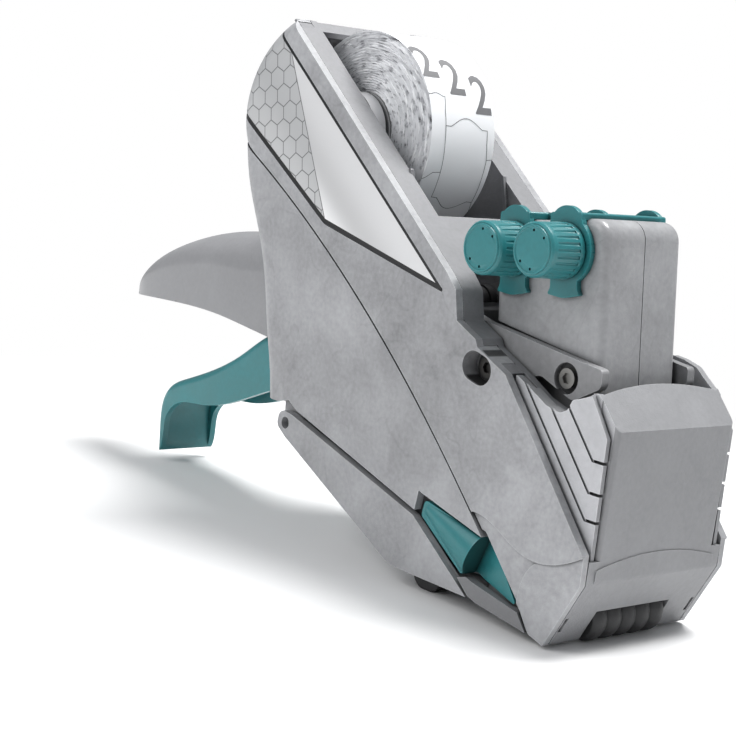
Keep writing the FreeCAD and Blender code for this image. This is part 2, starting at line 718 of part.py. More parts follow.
def magazine_ribs():
    """Low crossing ribs on the inner faces of the magazine."""
    ribs = []
    rise = 0.8
    ends = [((-22.0, 90.0), (-34.0, 79.0)), ((-20.0, 82.0), (-40.0, 84.0)), ((-26.0, 98.0), (-22.0, 84.0))]
    for a, b in ends:
        bar = slot(a, b, 0.5, FRAME_INNER - rise, FRAME_INNER + 0.3)
        ribs += both_sides(bar)
    return ribs


def frame_ties():
    """Cross walls that hold the two side plates apart."""
    outline = [(-46.0, 66.0), (-36.0, 58.4), (-37.2, 56.8), (-47.2, 64.4)]
    return [plate(outline, -FRAME_INNER - 0.5, FRAME_INNER + 0.5)]


def roll_hub():
    """Hub that the roll core turns on, pressed into the frame plate."""
    x, z = ROLL_CENTRE
    spigot_r = CORE_OUTER - CORE_WALL - 0.15
    inside = FRAME_INNER - 0.2
    profile = [
        (0.0, 6.0),
        (spigot_r - 0.8, 6.0),
        (spigot_r, 7.5),
        (spigot_r, LABEL_HALF + 0.4),
        (CORE_OUTER, LABEL_HALF + 1.2),
        (CORE_OUTER, inside),
        (0.0, inside),
    ]
    points = [FreeCAD.Vector(x + r, y, z) for r, y in profile]
    face = Part.Face(Part.makePolygon(points + [points[0]]))
    hub = face.revolve(vec(x, z), FreeCAD.Vector(0, 1, 0), 360)
    hub = hub.fuse(rod(ROLL_CENTRE, HUB_STEM_R, 15.0, FRAME_OUTER + 0.3))
    return hub.cut(rod(ROLL_CENTRE, 2.6, 5.0, 14.0)).removeSplitter()


def label_roll():
    return ring(ROLL_CENTRE, ROLL_R, CORE_OUTER, -LABEL_HALF, LABEL_HALF)


def roll_core():
    """Ribbed plastic core of the label roll."""
    return ring(ROLL_CENTRE, CORE_OUTER, CORE_OUTER - CORE_WALL, -LABEL_HALF, LABEL_HALF)


def strip_route():
    """Edges of the label strip's middle line: off the roll's underside, over the bend
    at the top of the peel plate, and straight down to the peel edge."""
    bend = path_point(BEND_BACK, -BEND_R)
    dx, dz = bend[0] - ROLL_CENTRE[0], bend[1] - ROLL_CENTRE[1]
    roll_r = ROLL_R + STRIP_T / 2.0 + 0.1
    tilt = math.atan2(dz, dx) + math.asin((roll_r + BEND_R) / math.hypot(dx, dz))
    n = (-math.sin(tilt), math.cos(tilt))
    start = (ROLL_CENTRE[0] - roll_r * n[0], ROLL_CENTRE[1] - roll_r * n[1])
    meet = (bend[0] + BEND_R * n[0], bend[1] + BEND_R * n[1])
    leave = path_point(BEND_BACK)
    mx, mz = n[0] + ABOVE[0], n[1] + ABOVE[1]
    size = math.hypot(mx, mz)
    middle = (bend[0] + BEND_R * mx / size, bend[1] + BEND_R * mz / size)
    front = path_point(PEEL_BACK - 0.9)
    return [
        line(start, meet),
        Part.Arc(vec(*meet), vec(*middle), vec(*leave)).toShape(),
        line(leave, front),
    ]


def guide_radius():
    """Distance from the head pivot to the middle of the strip."""
    dx, dz = HEAD_PIVOT[0] - PATH_FRONT[0], HEAD_PIVOT[1] - PATH_FRONT[1]
    return dx * ABOVE[0] + dz * ABOVE[1]


PEEL_BACK = 3.2
BEND_BACK = 86.0
BEND_R = 12.0


def label_strip():
    """The strip of labels on its way from the roll to the peel edge."""
    edges = strip_route()
    solids = []
    for edge in edges:
        wire = Part.Wire([edge])
        start = edge.valueAt(edge.FirstParameter)
        tangent = edge.tangentAt(edge.FirstParameter)
        side = tangent.cross(FreeCAD.Vector(0, 1, 0)).normalize() * (STRIP_T / 2.0)
        width = FreeCAD.Vector(0, LABEL_HALF, 0)
        corners = [start - side - width, start + side - width, start + side + width, start - side + width]
        face = Part.Face(Part.makePolygon(corners + [corners[0]]))
        solids.append(wire.makePipeShell([Part.Wire(face.OuterWire)], True, True))
    return fuse_all(solids)


def peel_plate():
    """Steel plate under the print head, folded back sharply at the peel edge."""
    t = PEEL_PLATE_T
    under = -STRIP_T / 2.0 - 0.05
    wide_back = 27.0
    front = [
        path_point(PEEL_BACK, under) + (0.4,),
        path_point(wide_back, under),
        path_point(wide_back, under - t),
        path_point(PEEL_BACK + 1.4, under - t) + (0.6,),
    ]
    wide = plate(front, -FRAME_INNER + 0.1, FRAME_INNER - 0.1)
    # The narrow chute behind it ends in a bend that the strip slides over
    bend = path_point(BEND_BACK, -BEND_R)
    arcs = []
    for radius in (BEND_R + under, BEND_R + under - t):
        row = []
        for degrees in (0.0, 11.0, 22.0):
            a = math.pi / 2.0 - PATH_ANGLE + math.radians(degrees)
            row.append((bend[0] + radius * math.cos(a), bend[1] + radius * math.sin(a)))
        arcs.append(row)
    top, low = arcs
    edges = [Part.Arc(*[vec(*p) for p in row]).toShape() for row in arcs]
    joint = wide_back - 1.0
    edges += poly([top[0], path_point(joint, under), path_point(joint, under - t), low[0]])
    edges += [line(top[2], low[2])]
    chute_half = TRIGGER_ARM_INNER - SIDE_GAP
    chute = extrude_edges(edges, -chute_half, chute_half)
    seat = PAD_HALF + 0.1
    pad_seat = plate(
        [
            path_point(TYPE_FACE_AT - seat, 1.0),
            path_point(TYPE_FACE_AT - seat, under - PAD_T - 0.05),
            path_point(TYPE_FACE_AT + seat, under - PAD_T - 0.05),
            path_point(TYPE_FACE_AT + seat, 1.0),
        ],
        -PAD_WIDTH_HALF - 0.1,
        PAD_WIDTH_HALF + 0.1,
    )
    return fuse_all([wide, chute]).cut(pad_seat)


PEEL_PLATE_T = 1.5
PAD_HALF = 6.5
PAD_T = 0.85
PAD_WIDTH_HALF = LABEL_HALF + 0.5


def platen_pad():
    """Rubber pad let into the peel plate under the printing face."""
    under = -STRIP_T / 2.0 - 0.05
    outline = [
        path_point(TYPE_FACE_AT - PAD_HALF, under),
        path_point(TYPE_FACE_AT - PAD_HALF, under - PAD_T),
        path_point(TYPE_FACE_AT + PAD_HALF, under - PAD_T),
        path_point(TYPE_FACE_AT + PAD_HALF, under),
    ]
    return plate(outline, -PAD_WIDTH_HALF, PAD_WIDTH_HALF)


# Shafts and pins that stay with the frame


def head_pivot_shaft():
    return rod(HEAD_PIVOT, HEAD_PIVOT_R, -FRAME_OUTER - 0.2, FRAME_OUTER + 0.2)


def guide_roller():
    """Loose sleeve on the head pivot that turns the label strip into its run."""
    outer = guide_radius() - STRIP_T / 2.0 - 0.1
    sleeve = ring(HEAD_PIVOT, outer, HEAD_PIVOT_R + PIN_FIT, -11.4, 11.4)
    for y in (-8.0, 0.0, 8.0):
        sleeve = sleeve.cut(ring(HEAD_PIVOT, outer + 1.0, outer - 0.5, y - 1.2, y + 1.2))
    return sleeve


# Trigger

TRIGGER_TOP = [
    (-34.0, 47.5),
    (-60.0, 52.0),
    (-83.6, 47.2),
    (-97.2, 38.4),
    (-114.2, 29.8),
    (-123.3, 26.2),
    (-128.8, 23.4),
    (-131.9, 19.4),
    (-132.9, 14.0),
    (-132.2, 4.2),
]
TRIGGER_INSIDE = [
    (-34.6, 45.3),
    (-59.4, 49.8),
    (-83.0, 45.0),
    (-96.6, 36.2),
    (-113.6, 27.6),
    (-122.7, 24.0),
    (-127.1, 21.8),
    (-129.8, 18.4),
    (-130.7, 13.8),
    (-130.0, 2.0),
]
TRIGGER_LOWER = [
    (-130.4, 3.2),
    (-129.2, 8.0),
    (-128.6, 14.0),
    (-126.0, 17.4),
    (-111.0, 21.2),
    (-97.1, 24.8),
    (-79.0, 32.2),
    (-60.0, 36.6),
    (-34.0, 36.4),
]
TRIGGER_WALL = 1.8


def trigger_body():
    edges = [spline(TRIGGER_TOP), line(TRIGGER_TOP[-1], TRIGGER_LOWER[0])]
    edges += [spline(TRIGGER_LOWER), line(TRIGGER_LOWER[-1], TRIGGER_TOP[0])]
    return extrude_edges(edges, -TRIGGER_HALF, TRIGGER_HALF)


def trigger():
    """Hand lever: a channel open below, two forward arms, drive pins and a gear sector."""
    outer = trigger_body()
    long_edges = [e for e in outer.Edges if len(e.Vertexes) == 2 and e.Length > 2.0 * TRIGGER_HALF]
    longest = max(e.Length for e in long_edges)
    outer = outer.makeFillet(2.4, [e for e in long_edges if e.Length > longest - 0.01])
    first, last = TRIGGER_INSIDE[0], TRIGGER_INSIDE[-1]
    open_side = [last, (last[0], -6.0), (first[0] + 8.0, -6.0), (first[0] + 8.0, first[1]), first]
    half = TRIGGER_HALF - TRIGGER_WALL
    lever = outer.cut(extrude_edges([spline(TRIGGER_INSIDE)] + poly(open_side), -half, half))
    yoke_block = plate(
        [(-40.0, 37.0, 1.0), (-34.5, 36.4, 1.0), (-34.5, 47.5, 1.0), (-40.0, 48.4, 1.0)],
        -TRIGGER_ARM_OUTER,
        TRIGGER_ARM_OUTER,
    )
    arm = plate(
        [
            (-38.5, 48.3, 2.0),
            (-39.5, 37.0, 2.0),
            (-26.0, 34.0, 4.0),
            (-16.0, 34.0, 4.0),
            (-9.0, 39.0, 6.0),
            (11.0, 49.5, 3.6),
            (9.6, 57.0, 3.6),
            (2.0, 56.6, 3.6),
            (-14.0, 46.6, 8.0),
            (-26.0, 46.6, 4.0),
        ],
        TRIGGER_ARM_INNER,
        TRIGGER_ARM_OUTER,
    )
    pin = rod(DRIVE_PIN, DRIVE_PIN_R, TRIGGER_ARM_OUTER - 0.5, ARM_OUTER - 0.1)
    pieces = [lever, yoke_block]
    for side in both_sides(arm.fuse(pin)):
        pieces.append(side)
    pieces.append(trigger_sector())
    body = fuse_all(pieces)
    bore = rod(TRIGGER_PIVOT, TRIGGER_PIVOT_R + PIN_FIT, -FRAME_OUTER, FRAME_OUTER)
    return body.cut(bore).removeSplitter()


PRESSURE_ANGLE = math.radians(20.0)


def tooth_flank(teeth, outer, root):
    """Flank of one involute tooth, root to tip, as radii and half angles."""
    pitch_r = MODULE * teeth / 2.0
    base_r = pitch_r * math.cos(PRESSURE_ANGLE)
    half_pitch = (math.pi * MODULE / 2.0 - GEAR_BACKLASH) / 2.0 / pitch_r
    involute = math.tan(PRESSURE_ANGLE) - PRESSURE_ANGLE
    points = []
    start = max(base_r, root)
    for i in range(5):
        r = start + (outer - start) * i / 4.0
        alpha = math.acos(base_r / r)
        half = half_pitch + involute - (math.tan(alpha) - alpha)
        points.append((r, half))
    if root < base_r:
        points.insert(0, (root, points[0][1] + 0.01))
    return points


def gear_outline(centre, teeth, first_angle, count):
    """Corner points of a gear's teeth, or of a sector's with fewer than a full turn."""
    outer = MODULE * (teeth / 2.0 + 0.9)
    root = MODULE * (teeth / 2.0 - 1.2)
    flank = tooth_flank(teeth, outer, root)
    step = 2.0 * math.pi / teeth
    points = []
    for k in range(count):
        middle = first_angle + k * step
        for r, half in flank:
            points.append((centre[0] + r * math.cos(middle - half), centre[1] + r * math.sin(middle - half)))
        for r, half in reversed(flank):
            points.append((centre[0] + r * math.cos(middle + half), centre[1] + r * math.sin(middle + half)))
    return points


SECTOR_COUNT = 6


def trigger_sector():
    """Toothed sector below the left trigger arm, in mesh with the feed pinion."""
    step = 2.0 * math.pi / SECTOR_TEETH
    first = -FEED_AXIS_BELOW - 1.5 * step
    points = gear_outline(TRIGGER_PIVOT, SECTOR_TEETH, first, SECTOR_COUNT)
    root = MODULE * (SECTOR_TEETH / 2.0 - 1.2)
    last = first + (SECTOR_COUNT - 1) * step
    x, z = TRIGGER_PIVOT
    low = (x + root * math.cos(first - 0.7 * step), z + root * math.sin(first - 0.7 * step))
    high = (x + root * math.cos(last + 0.7 * step), z + root * math.sin(last + 0.7 * step))
    hub_low = (TRIGGER_PIVOT[0] + 1.0, TRIGGER_PIVOT[1] - 5.0)
    hub_high = (TRIGGER_PIVOT[0] + 5.5, TRIGGER_PIVOT[1] - 1.0)
    outline = [hub_high, hub_low, low] + points + [high]
    return plate(outline, TRIGGER_ARM_INNER, TRIGGER_ARM_OUTER)


def trigger_pivot_pin():
    return rod(TRIGGER_PIVOT, TRIGGER_PIVOT_R, -FRAME_OUTER - 0.2, FRAME_OUTER + 0.2)


SPRING_WIRE = 1.2
SPRING_PITCH = 1.75
SPRING_FULL_TURNS = 5
SPRING_FIRST = math.radians(225.0)
SPRING_LAST = math.radians(70.6)
SPRING_LEG = 18.0


def trigger_spring():
    """Torsion spring round the trigger pivot, one leg on the lever and one on the frame tie."""
    coil_r = TRIGGER_PIVOT_R + 0.5 + SPRING_WIRE / 2.0
    turns = SPRING_FULL_TURNS - (SPRING_FIRST - SPRING_LAST) / (2.0 * math.pi)
    length = turns * SPRING_PITCH
    helix = Part.makeHelix(SPRING_PITCH, length, coil_r)
    rise = SPRING_PITCH / (2.0 * math.pi * coil_r)
    ends = []
    for angle, height, sense in ((0.0, 0.0, -1.0), (turns * 2.0 * math.pi, length, 1.0)):
        foot = FreeCAD.Vector(coil_r * math.cos(angle), coil_r * math.sin(angle), height)
        way = FreeCAD.Vector(-math.sin(angle), math.cos(angle), rise) * sense
        ends.append((foot, way))
    profile = Part.Wire([Part.makeCircle(SPRING_WIRE / 2.0, ends[0][0], ends[0][1])])
    spring = Part.Wire(helix.Edges).makePipeShell([profile], True, True)
    legs = [Part.makeCylinder(SPRING_WIRE / 2.0, SPRING_LEG, foot, way) for foot, way in ends]
    spring = spring.fuse(legs)
    spring.rotate(FreeCAD.Vector(0, 0, 0), FreeCAD.Vector(1, 0, 0), 90)
    spring.rotate(FreeCAD.Vector(0, 0, 0), FreeCAD.Vector(0, 1, 0), -math.degrees(SPRING_FIRST))
    spring.translate(vec(TRIGGER_PIVOT[0], TRIGGER_PIVOT[1], length / 2.0))
    print("trigger spring least gap %.2f mm" % (SPRING_PITCH - SPRING_WIRE))
    return spring


# Handle


HANDLE_STATIONS = [
    # x, half width, top, bottom, height of the crown, how far its flanks are waisted
    (-64.0, 12.3, 74.4, 44.0, 11.0, 0.30),
    (-88.0, 12.3, 74.4, 47.6, 11.0, 0.30),
    (-104.0, 12.2, 73.0, 49.0, 10.4, 0.20),
    (-120.0, 11.8, 70.0, 49.1, 9.2, 0.10),
    (-134.0, 10.9, 65.2, 48.4, 7.6, 0.0),
    (-145.0, 9.3, 59.6, 47.6, 5.6, 0.0),
    (-152.5, 6.9, 54.4, 46.9, 3.8, 0.0),
    (-157.6, 3.6, 50.0, 46.4, 1.8, 0.0),
]
# Crown from the side to the middle: share of the half width, share of the crown's drop
PLAIN_CROWN = [(1.0, 1.0), (0.95, 0.66), (0.80, 0.32), (0.48, 0.09), (0.0, 0.0)]
WAISTED_CROWN = [(1.0, 1.0), (0.90, 0.82), (0.64, 0.66), (0.42, 0.20), (0.0, 0.0)]


def handle_section(x, half, top, bottom, crown, waist):
    """Closed wire across the handle: flat bottom, straight sides, rounded crown."""
    flank = []
    for plain, waisted in zip(PLAIN_CROWN, WAISTED_CROWN):
        across = plain[0] + (waisted[0] - plain[0]) * waist
        drop = plain[1] + (waisted[1] - plain[1]) * waist
        flank.append((half * across, top - crown * drop))
    points = [FreeCAD.Vector(x, y, z) for y, z in flank]
    points += [FreeCAD.Vector(x, -y, z) for y, z in reversed(flank[:-1])]
    left = FreeCAD.Vector(x, -half, bottom)
    right = FreeCAD.Vector(x, half, bottom)
    curve = Part.BSplineCurve()
    curve.interpolate(points)
    edges = [Part.LineSegment(left, right).toShape(), Part.LineSegment(right, points[0]).toShape()]
    edges += [curve.toShape(), Part.LineSegment(points[-1], left).toShape()]
    return Part.Wire(edges)


def handle():
    """Hollow hand grip over the trigger, open below, lofted through its cross-sections."""
    outer = Part.makeLoft([handle_section(*s) for s in HANDLE_STATIONS], True, False)
    wall = HANDLE_WALL
    inner_stations = []
    for x, half, top, bottom, crown, waist in HANDLE_STATIONS[:-1]:
        x_in = x + wall * min(1.0, max(0.0, (-x - 120.0) / 25.0))
        inner_stations.append((x_in, half - wall, top - wall, bottom - 4.0, max(crown - wall, 1.0), waist))
    inner_stations[0] = (HANDLE_STATIONS[0][0] + 4.0,) + inner_stations[0][1:]
    inner = Part.makeLoft([handle_section(*s) for s in inner_stations], True, False)
    grip = outer.cut(inner)
    root = HANDLE_STATIONS[0][0]
    for side in both_sides(box(root - 1.0, root + 1.5, HANDLE_HALF - 1.5, FRAME_OUTER + 2.3, 55.0, 72.0)):
        grip = grip.fuse(side)
    return grip.removeSplitter()


# Feed wheel and pinion


def feed_wheel():
    """Two toothed rims on a hub that pull the backing strip along."""
    solids = [ring(FEED_AXIS, 5.0, FEED_SHAFT_R + PIN_FIT, -9.0, 10.6)]
    x, z = FEED_AXIS
    base, tip = z + FEED_WHEEL_R - 1.2, z + FEED_WHEEL_R
    tooth = plate([(x - 1.2, base), (x + 1.2, base), (x + 0.3, tip), (x - 0.3, tip)], -9.0, -6.0)
    rim = rod(FEED_AXIS, FEED_WHEEL_R - 0.8, -9.0, -6.0)
    teeth = []
    for k in range(12):
        copy = tooth.copy()
        copy.rotate(vec(*FEED_AXIS), FreeCAD.Vector(0, 1, 0), 30.0 * k)
        teeth.append(copy)
    rim = rim.fuse(teeth)
    rims = [rim]
    other = rim.copy()
    other.translate(FreeCAD.Vector(0, 15.0, 0))
    rims.append(other)
    wheel = fuse_all(solids + rims)
    return wheel.cut(rod(FEED_AXIS, FEED_SHAFT_R + PIN_FIT, -12.0, 12.0)).removeSplitter()


def feed_pinion():
    """Small gear driven by the trigger's sector, with a one-way hub beside the wheel."""
    step = 2.0 * math.pi / PINION_TEETH
    toward_trigger = math.pi - FEED_AXIS_BELOW
    points = gear_outline(FEED_AXIS, PINION_TEETH, toward_trigger, PINION_TEETH)
    gear = plate(points, TRIGGER_ARM_INNER - 0.1, TRIGGER_ARM_OUTER - 0.1)
    hub = rod(FEED_AXIS, 3.6, 10.8, TRIGGER_ARM_INNER)
    gear = gear.fuse(hub)
    return gear.cut(rod(FEED_AXIS, FEED_SHAFT_R + PIN_FIT, 5.0, 20.0)).removeSplitter()


def feed_shaft():
    return rod(FEED_AXIS, FEED_SHAFT_R, -FRAME_OUTER - 0.2, FRAME_OUTER + 0.2)


def pressure_roller():
    return ring(PRESSURE_AXIS, PRESSURE_R, 1.0, -9.4, 9.4)


def pressure_roller_axle():
    return rod(PRESSURE_AXIS, 1.0 - 0.02, -12.0, 12.0)


def flap_hinge_pin():
    half = COVER_INNER - 0.5
    return rod(FLAP_HINGE, FLAP_PIN_R, -half, half)


# Applicator roller


def applicator_roller():
    """Soft roller with rounded rings that smooths the label down."""
    half = APPLICATOR_RINGS * APPLICATOR_RING_PITCH / 2.0 - 0.3
    width = 2.0 * half / APPLICATOR_RINGS
    groove_r = APPLICATOR_R - 1.0
    bore = APPLICATOR_AXLE_R + PIN_FIT
    x, z = APPLICATOR_AXLE
    edges = []
    for k in range(APPLICATOR_RINGS):
        y = -half + k * width
        start = FreeCAD.Vector(x + groove_r, y, z)
        crest = FreeCAD.Vector(x + APPLICATOR_R, y + width / 2.0, z)
        edges.append(Part.Arc(start, crest, FreeCAD.Vector(x + groove_r, y + width, z)).toShape())
    corners = [
        FreeCAD.Vector(x + groove_r, half, z),
        FreeCAD.Vector(x + bore, half, z),
        FreeCAD.Vector(x + bore, -half, z),
        FreeCAD.Vector(x + groove_r, -half, z),
    ]
    edges += [Part.LineSegment(a, b).toShape() for a, b in zip(corners, corners[1:])]
    face = Part.Face(Part.Wire(edges))
    return face.revolve(vec(x, z), FreeCAD.Vector(0, 1, 0), 360)


def applicator_axle():
    return rod(APPLICATOR_AXLE, APPLICATOR_AXLE_R, -AXLE_HALF, AXLE_HALF)


# Ink roller on its swinging cartridge


def ink_roller():
    return ring(INK_ROLLER_AXIS, 3.3, 1.0 + PIN_FIT, -11.2, 11.2)


def ink_cartridge():
    """Swinging frame of the ink roller, open towards the type."""
    arm = slot(INK_PIVOT, INK_ROLLER_AXIS, 2.2, 11.6, 13.0)
    boss = rod(INK_PIVOT, 3.0, 11.6, 13.0)
    axle = rod(INK_ROLLER_AXIS, 1.0, -12.0, 12.0)
    bar = rod((INK_PIVOT[0] + 1.9, INK_PIVOT[1] + 0.8), 1.1, -12.0, 12.0)
    solids = both_sides(arm) + both_sides(boss) + [axle, bar]
    frame = fuse_all(solids)
    for side in both_sides(rod(INK_PIVOT, INK_PIN_R + PIN_FIT, 10.0, 14.0)):
        frame = frame.cut(side)
    return frame


def ink_pins():
    pins = both_sides(rod(INK_PIVOT, INK_PIN_R, 11.9, FRAME_OUTER))
    return Part.makeCompound(pins)


# Front cover

COVER_HALF = COVER_INNER - 0.25
CHEEK_OUT = COVER_HALF - 0.85
CHEEK_IN = CHEEK_OUT - 1.8
FACE_HALF = CHEEK_OUT - 1.6
FACE_SLIT = 0.5
FACE_WALL = 1.4
FACE_TOP = (52.8, 50.7)
FACET_REAR = (46.7, 57.6)
CHEEK_REAR = (22.9, 57.2)
TAB_FRONT = 51.4
TAB_TOP = 49.0
TAB_REAR = 48.2
TAB_HEIGHTS = (43.6, 36.6, 30.5)
FLARE_TOP = 22.0
APPLICATOR_OPENING_HALF = 12.6
APPLICATOR_OPENING_TOP = 8.6
AXLE_HALF = FRAME_OUTER + 2.6


def front_cover():
    """Front cover round the print head, hinged on the applicator axle."""
    cheek = plate(
        [
            CHEEK_REAR,
            (45.6, 57.4),
            (TAB_FRONT, TAB_TOP, 0.8),
            (TAB_FRONT, FLARE_TOP),
            (51.2, 16.9),
            (44.8, 4.6),
            (44.2, 4.6),
            (41.5, 20.0),
            (26.0, 48.0),
            (22.6, 54.6),
        ],
        CHEEK_IN,
        COVER_HALF,
    )
    cover = hood_box().fuse(both_sides(cheek) + [far_cheek_top()]).removeSplitter()
    for tool in both_sides(cheek_trim()):
        cover = cover.cut(tool)
    cover = cover.cut(near_cheek_cut()).fuse([crown(), flare_pad(), near_cheek_flange()])
    for tool in both_sides(face_slit()) + both_sides(face_corner()) + rib_grooves():
        cover = cover.cut(tool)
    half = APPLICATOR_OPENING_HALF
    cover = cover.cut(box(30.0, 60.0, -half, half, -2.0, APPLICATOR_OPENING_TOP))
    cover = cover.cut(rod(APPLICATOR_AXLE, APPLICATOR_R + 0.5, -half, half))
    for tool in both_sides(clip_slot()):
        cover = cover.cut(tool)
    for tool in both_sides(rod(APPLICATOR_AXLE, 2.75, FRAME_INNER - 0.3, FRAME_OUTER + 0.3)):
        cover = cover.cut(tool)
    cover = cover.fuse(both_sides(axle_lug()))
    for tool in both_sides(rod(APPLICATOR_AXLE, APPLICATOR_AXLE_R + PIN_FIT, FRAME_OUTER, AXLE_HALF + 0.1)):
        cover = cover.cut(tool)
    return cover.removeSplitter()


def hood_box():
    """Front face, sloping top and side walls, open behind."""
    outline = [FACET_REAR, FACE_TOP, NOSE_LOWER, NOSE_TIP, (42.2, 0.9), (36.0, 20.0), (36.0, 57.0)]
    outer = plate(outline, -COVER_HALF, COVER_HALF)
    back = 2.2
    room = [
        (46.0, 59.4),
        (FACE_TOP[0] - back, FACE_TOP[1] - 0.9),
        (NOSE_LOWER[0] - back, NOSE_LOWER[1] + 0.5),
        (NOSE_TIP[0] - back, -1.0),
        (30.0, -1.0),
        (30.0, 70.0),
        (40.0, 70.0),
    ]
    front_half = FACE_HALF - FACE_WALL
    box_room = plate(room, -front_half, front_half)
    rear_room = box(30.0, 44.5, -CHEEK_IN, CHEEK_IN, 12.0, 70.0)
    return outer.cut([box_room, rear_room])


def far_cheek_top():
    """Arched top of the far cheek."""
    outline = [
        (CHEEK_REAR[0], 57.0),
        (28.0, 61.4, 3.0),
        (32.6, 63.0, 3.0),
        (36.0, 62.6, 3.0),
        (40.0, 61.5, 3.0),
        (42.6, 59.4, 2.0),
        (45.6, 57.2),
        (46.0, 44.0),
        (26.0, 50.0),
    ]
    return plate(outline, CHEEK_IN, CHEEK_OUT)


def cheek_trim():
    """What stands proud of the cheeks above the flare, beside and in front of the tabs."""
    beside = box(20.0, 60.0, CHEEK_OUT, COVER_HALF + 1.0, FLARE_TOP, 80.0)
    outline = [(45.6, 57.4), (TAB_FRONT, TAB_TOP), (TAB_FRONT, FLARE_TOP)]
    outline += [(56.0, FLARE_TOP), (56.0, 64.0), (45.6, 64.0)]
    return beside.fuse(plate(outline, FACE_HALF + FACE_SLIT / 2.0, COVER_HALF + 1.0))


def face_slit():
    """Upright slit between the front face and the tabs of a cheek."""
    outline = [(47.6, 60.0), (56.0, 60.0), (56.0, FLARE_TOP), (50.6, FLARE_TOP), (47.6, 52.0)]
    return plate(outline, FACE_HALF, FACE_HALF + FACE_SLIT)


def face_corner():
    """What the rounding takes off an upright edge of the front face."""
    r = 1.3
    share = (FLARE_TOP - NOSE_LOWER[1]) / (FACE_TOP[1] - NOSE_LOWER[1])
    x = NOSE_LOWER[0] + (FACE_TOP[0] - NOSE_LOWER[0]) * share
    y = FACE_HALF
    c = r * (1.0 - math.cos(math.radians(45.0)))
    start = FreeCAD.Vector(x, y - r, FLARE_TOP)
    end = FreeCAD.Vector(x - r, y, FLARE_TOP)
    arc = Part.Arc(start, FreeCAD.Vector(x - c, y - c, FLARE_TOP), end).toShape()
    corners = [end, end + FreeCAD.Vector(0, 0.3, 0), FreeCAD.Vector(x + 1.0, y + 0.3, FLARE_TOP)]
    corners += [FreeCAD.Vector(x + 1.0, y - r, FLARE_TOP), start]
    edges = [Part.LineSegment(a, b).toShape() for a, b in zip(corners, corners[1:])]
    face = Part.Face(Part.Wire([arc] + edges))
    return face.extrude(vec(FACE_TOP[0] - NOSE_LOWER[0], FACE_TOP[1] - NOSE_LOWER[1]) * 1.2)


def flare_pad():
    """Slightly raised lower part of the front face, with an arched top edge."""
    x = NOSE_LOWER[0] - 1.0
    low = NOSE_LOWER[1] + 0.1
    left = FreeCAD.Vector(x, -FACE_HALF, 20.0)
    right = FreeCAD.Vector(x, FACE_HALF, 20.0)
    arch = Part.Arc(left, FreeCAD.Vector(x, 0, 22.6), right).toShape()
    corners = [right, FreeCAD.Vector(x, FACE_HALF, low), FreeCAD.Vector(x, -FACE_HALF, low), left]
    edges = [Part.LineSegment(a, b).toShape() for a, b in zip(corners, corners[1:])]
    pad = Part.Face(Part.Wire([arch] + edges)).extrude(FreeCAD.Vector(1.4, 0, 0))
    outline = [(x, low), (x + 1.0, low), (x + 1.4, low + 1.0), (x + 1.4, 30.0), (x, 30.0)]
    return pad.common(plate(outline, -FACE_HALF, FACE_HALF))


def axle_lug():
    """Lug that a cheek turns on the applicator axle with."""
    y0, y1 = FRAME_OUTER + 0.4, FRAME_OUTER + 2.4
    web = plate([(42.0, 2.6), (44.0, 2.4), (50.0, 14.0), (48.0, 16.0), (41.0, 8.0)], y0, y1)
    return rod(APPLICATOR_AXLE, 3.0, y0, y1).fuse(web)


def crown():
    """Bulged rear edge of the sloping top facet."""
    slope = away((0.0, 0.0), (FACET_REAR[0] - FACE_TOP[0], FACET_REAR[1] - FACE_TOP[1]), 1.0)
    y = FACE_HALF - 1.0
    rise = 2.2
    a = FreeCAD.Vector(FACET_REAR[0], -y, FACET_REAR[1])
    b = FreeCAD.Vector(FACET_REAR[0] + slope[0] * rise, 0, FACET_REAR[1] + slope[1] * rise)
    c = FreeCAD.Vector(FACET_REAR[0], y, FACET_REAR[1])
    down = FreeCAD.Vector(-slope[0] * 1.5, 0, -slope[1] * 1.5)
    corners = [c, c + down, a + down, a]
    edges = [Part.LineSegment(p, q).toShape() for p, q in zip(corners, corners[1:])]
    face = Part.Face(Part.Wire([Part.Arc(a, b, c).toShape()] + edges))
    inward = FreeCAD.Vector(slope[1], 0, -slope[0])
    if inward.z > 0:
        inward = inward * -1
    return face.extrude(inward * 1.6)


SCOOP = [
    (21.6, 58.0),
    (27.6, 55.2),
    (33.0, 52.4, 3.0),
    (37.2, 51.7, 2.0),
    (39.2, 52.7, 1.2),
    (40.4, 55.2, 0.8),
    (43.7, 56.4, 0.8),
    (45.6, 57.2),
]


def near_cheek_cut():
    """Scoop in the top of the near cheek that clears the head screw."""
    outline = SCOOP + [(45.6, 75.0), (21.6, 75.0)]
    return plate(outline, -COVER_HALF - 1.0, -FACE_HALF + 0.2)


def near_cheek_flange():
    """Narrow flange inside the scoop's edge that hides the gap to the frame."""
    top = [p[:2] for p in SCOOP[1:6]]
    low = [(x - 0.5, z - 1.3) for x, z in reversed(top)]
    return plate(top + low, -CHEEK_IN - 0.3, -FRAME_OUTER - SIDE_GAP)


def rib_grooves():
    """Shallow grooves that split each cheek into slanting ribs, stepped level at the tabs."""
    direction = away((0.0, 0.0), (NOSE_UPPER[0] - SHOULDER[0], NOSE_UPPER[1] - SHOULDER[1]), 1.0)
    depth, half = 0.5, 0.35
    floor = CHEEK_OUT - depth
    tools = []
    for z in TAB_HEIGHTS:
        top = (TAB_REAR - direction[0] * 60.0, z - direction[1] * 60.0)
        slant = slot(top, (TAB_REAR, z), half, floor, COVER_HALF + 1.0)
        slit = FACE_HALF + FACE_SLIT / 2.0
        cut = box(TAB_REAR, TAB_FRONT + 1.0, slit, COVER_HALF + 1.0, z - half, z + half)
        tools += both_sides(slant) + both_sides(cut)
    return tools


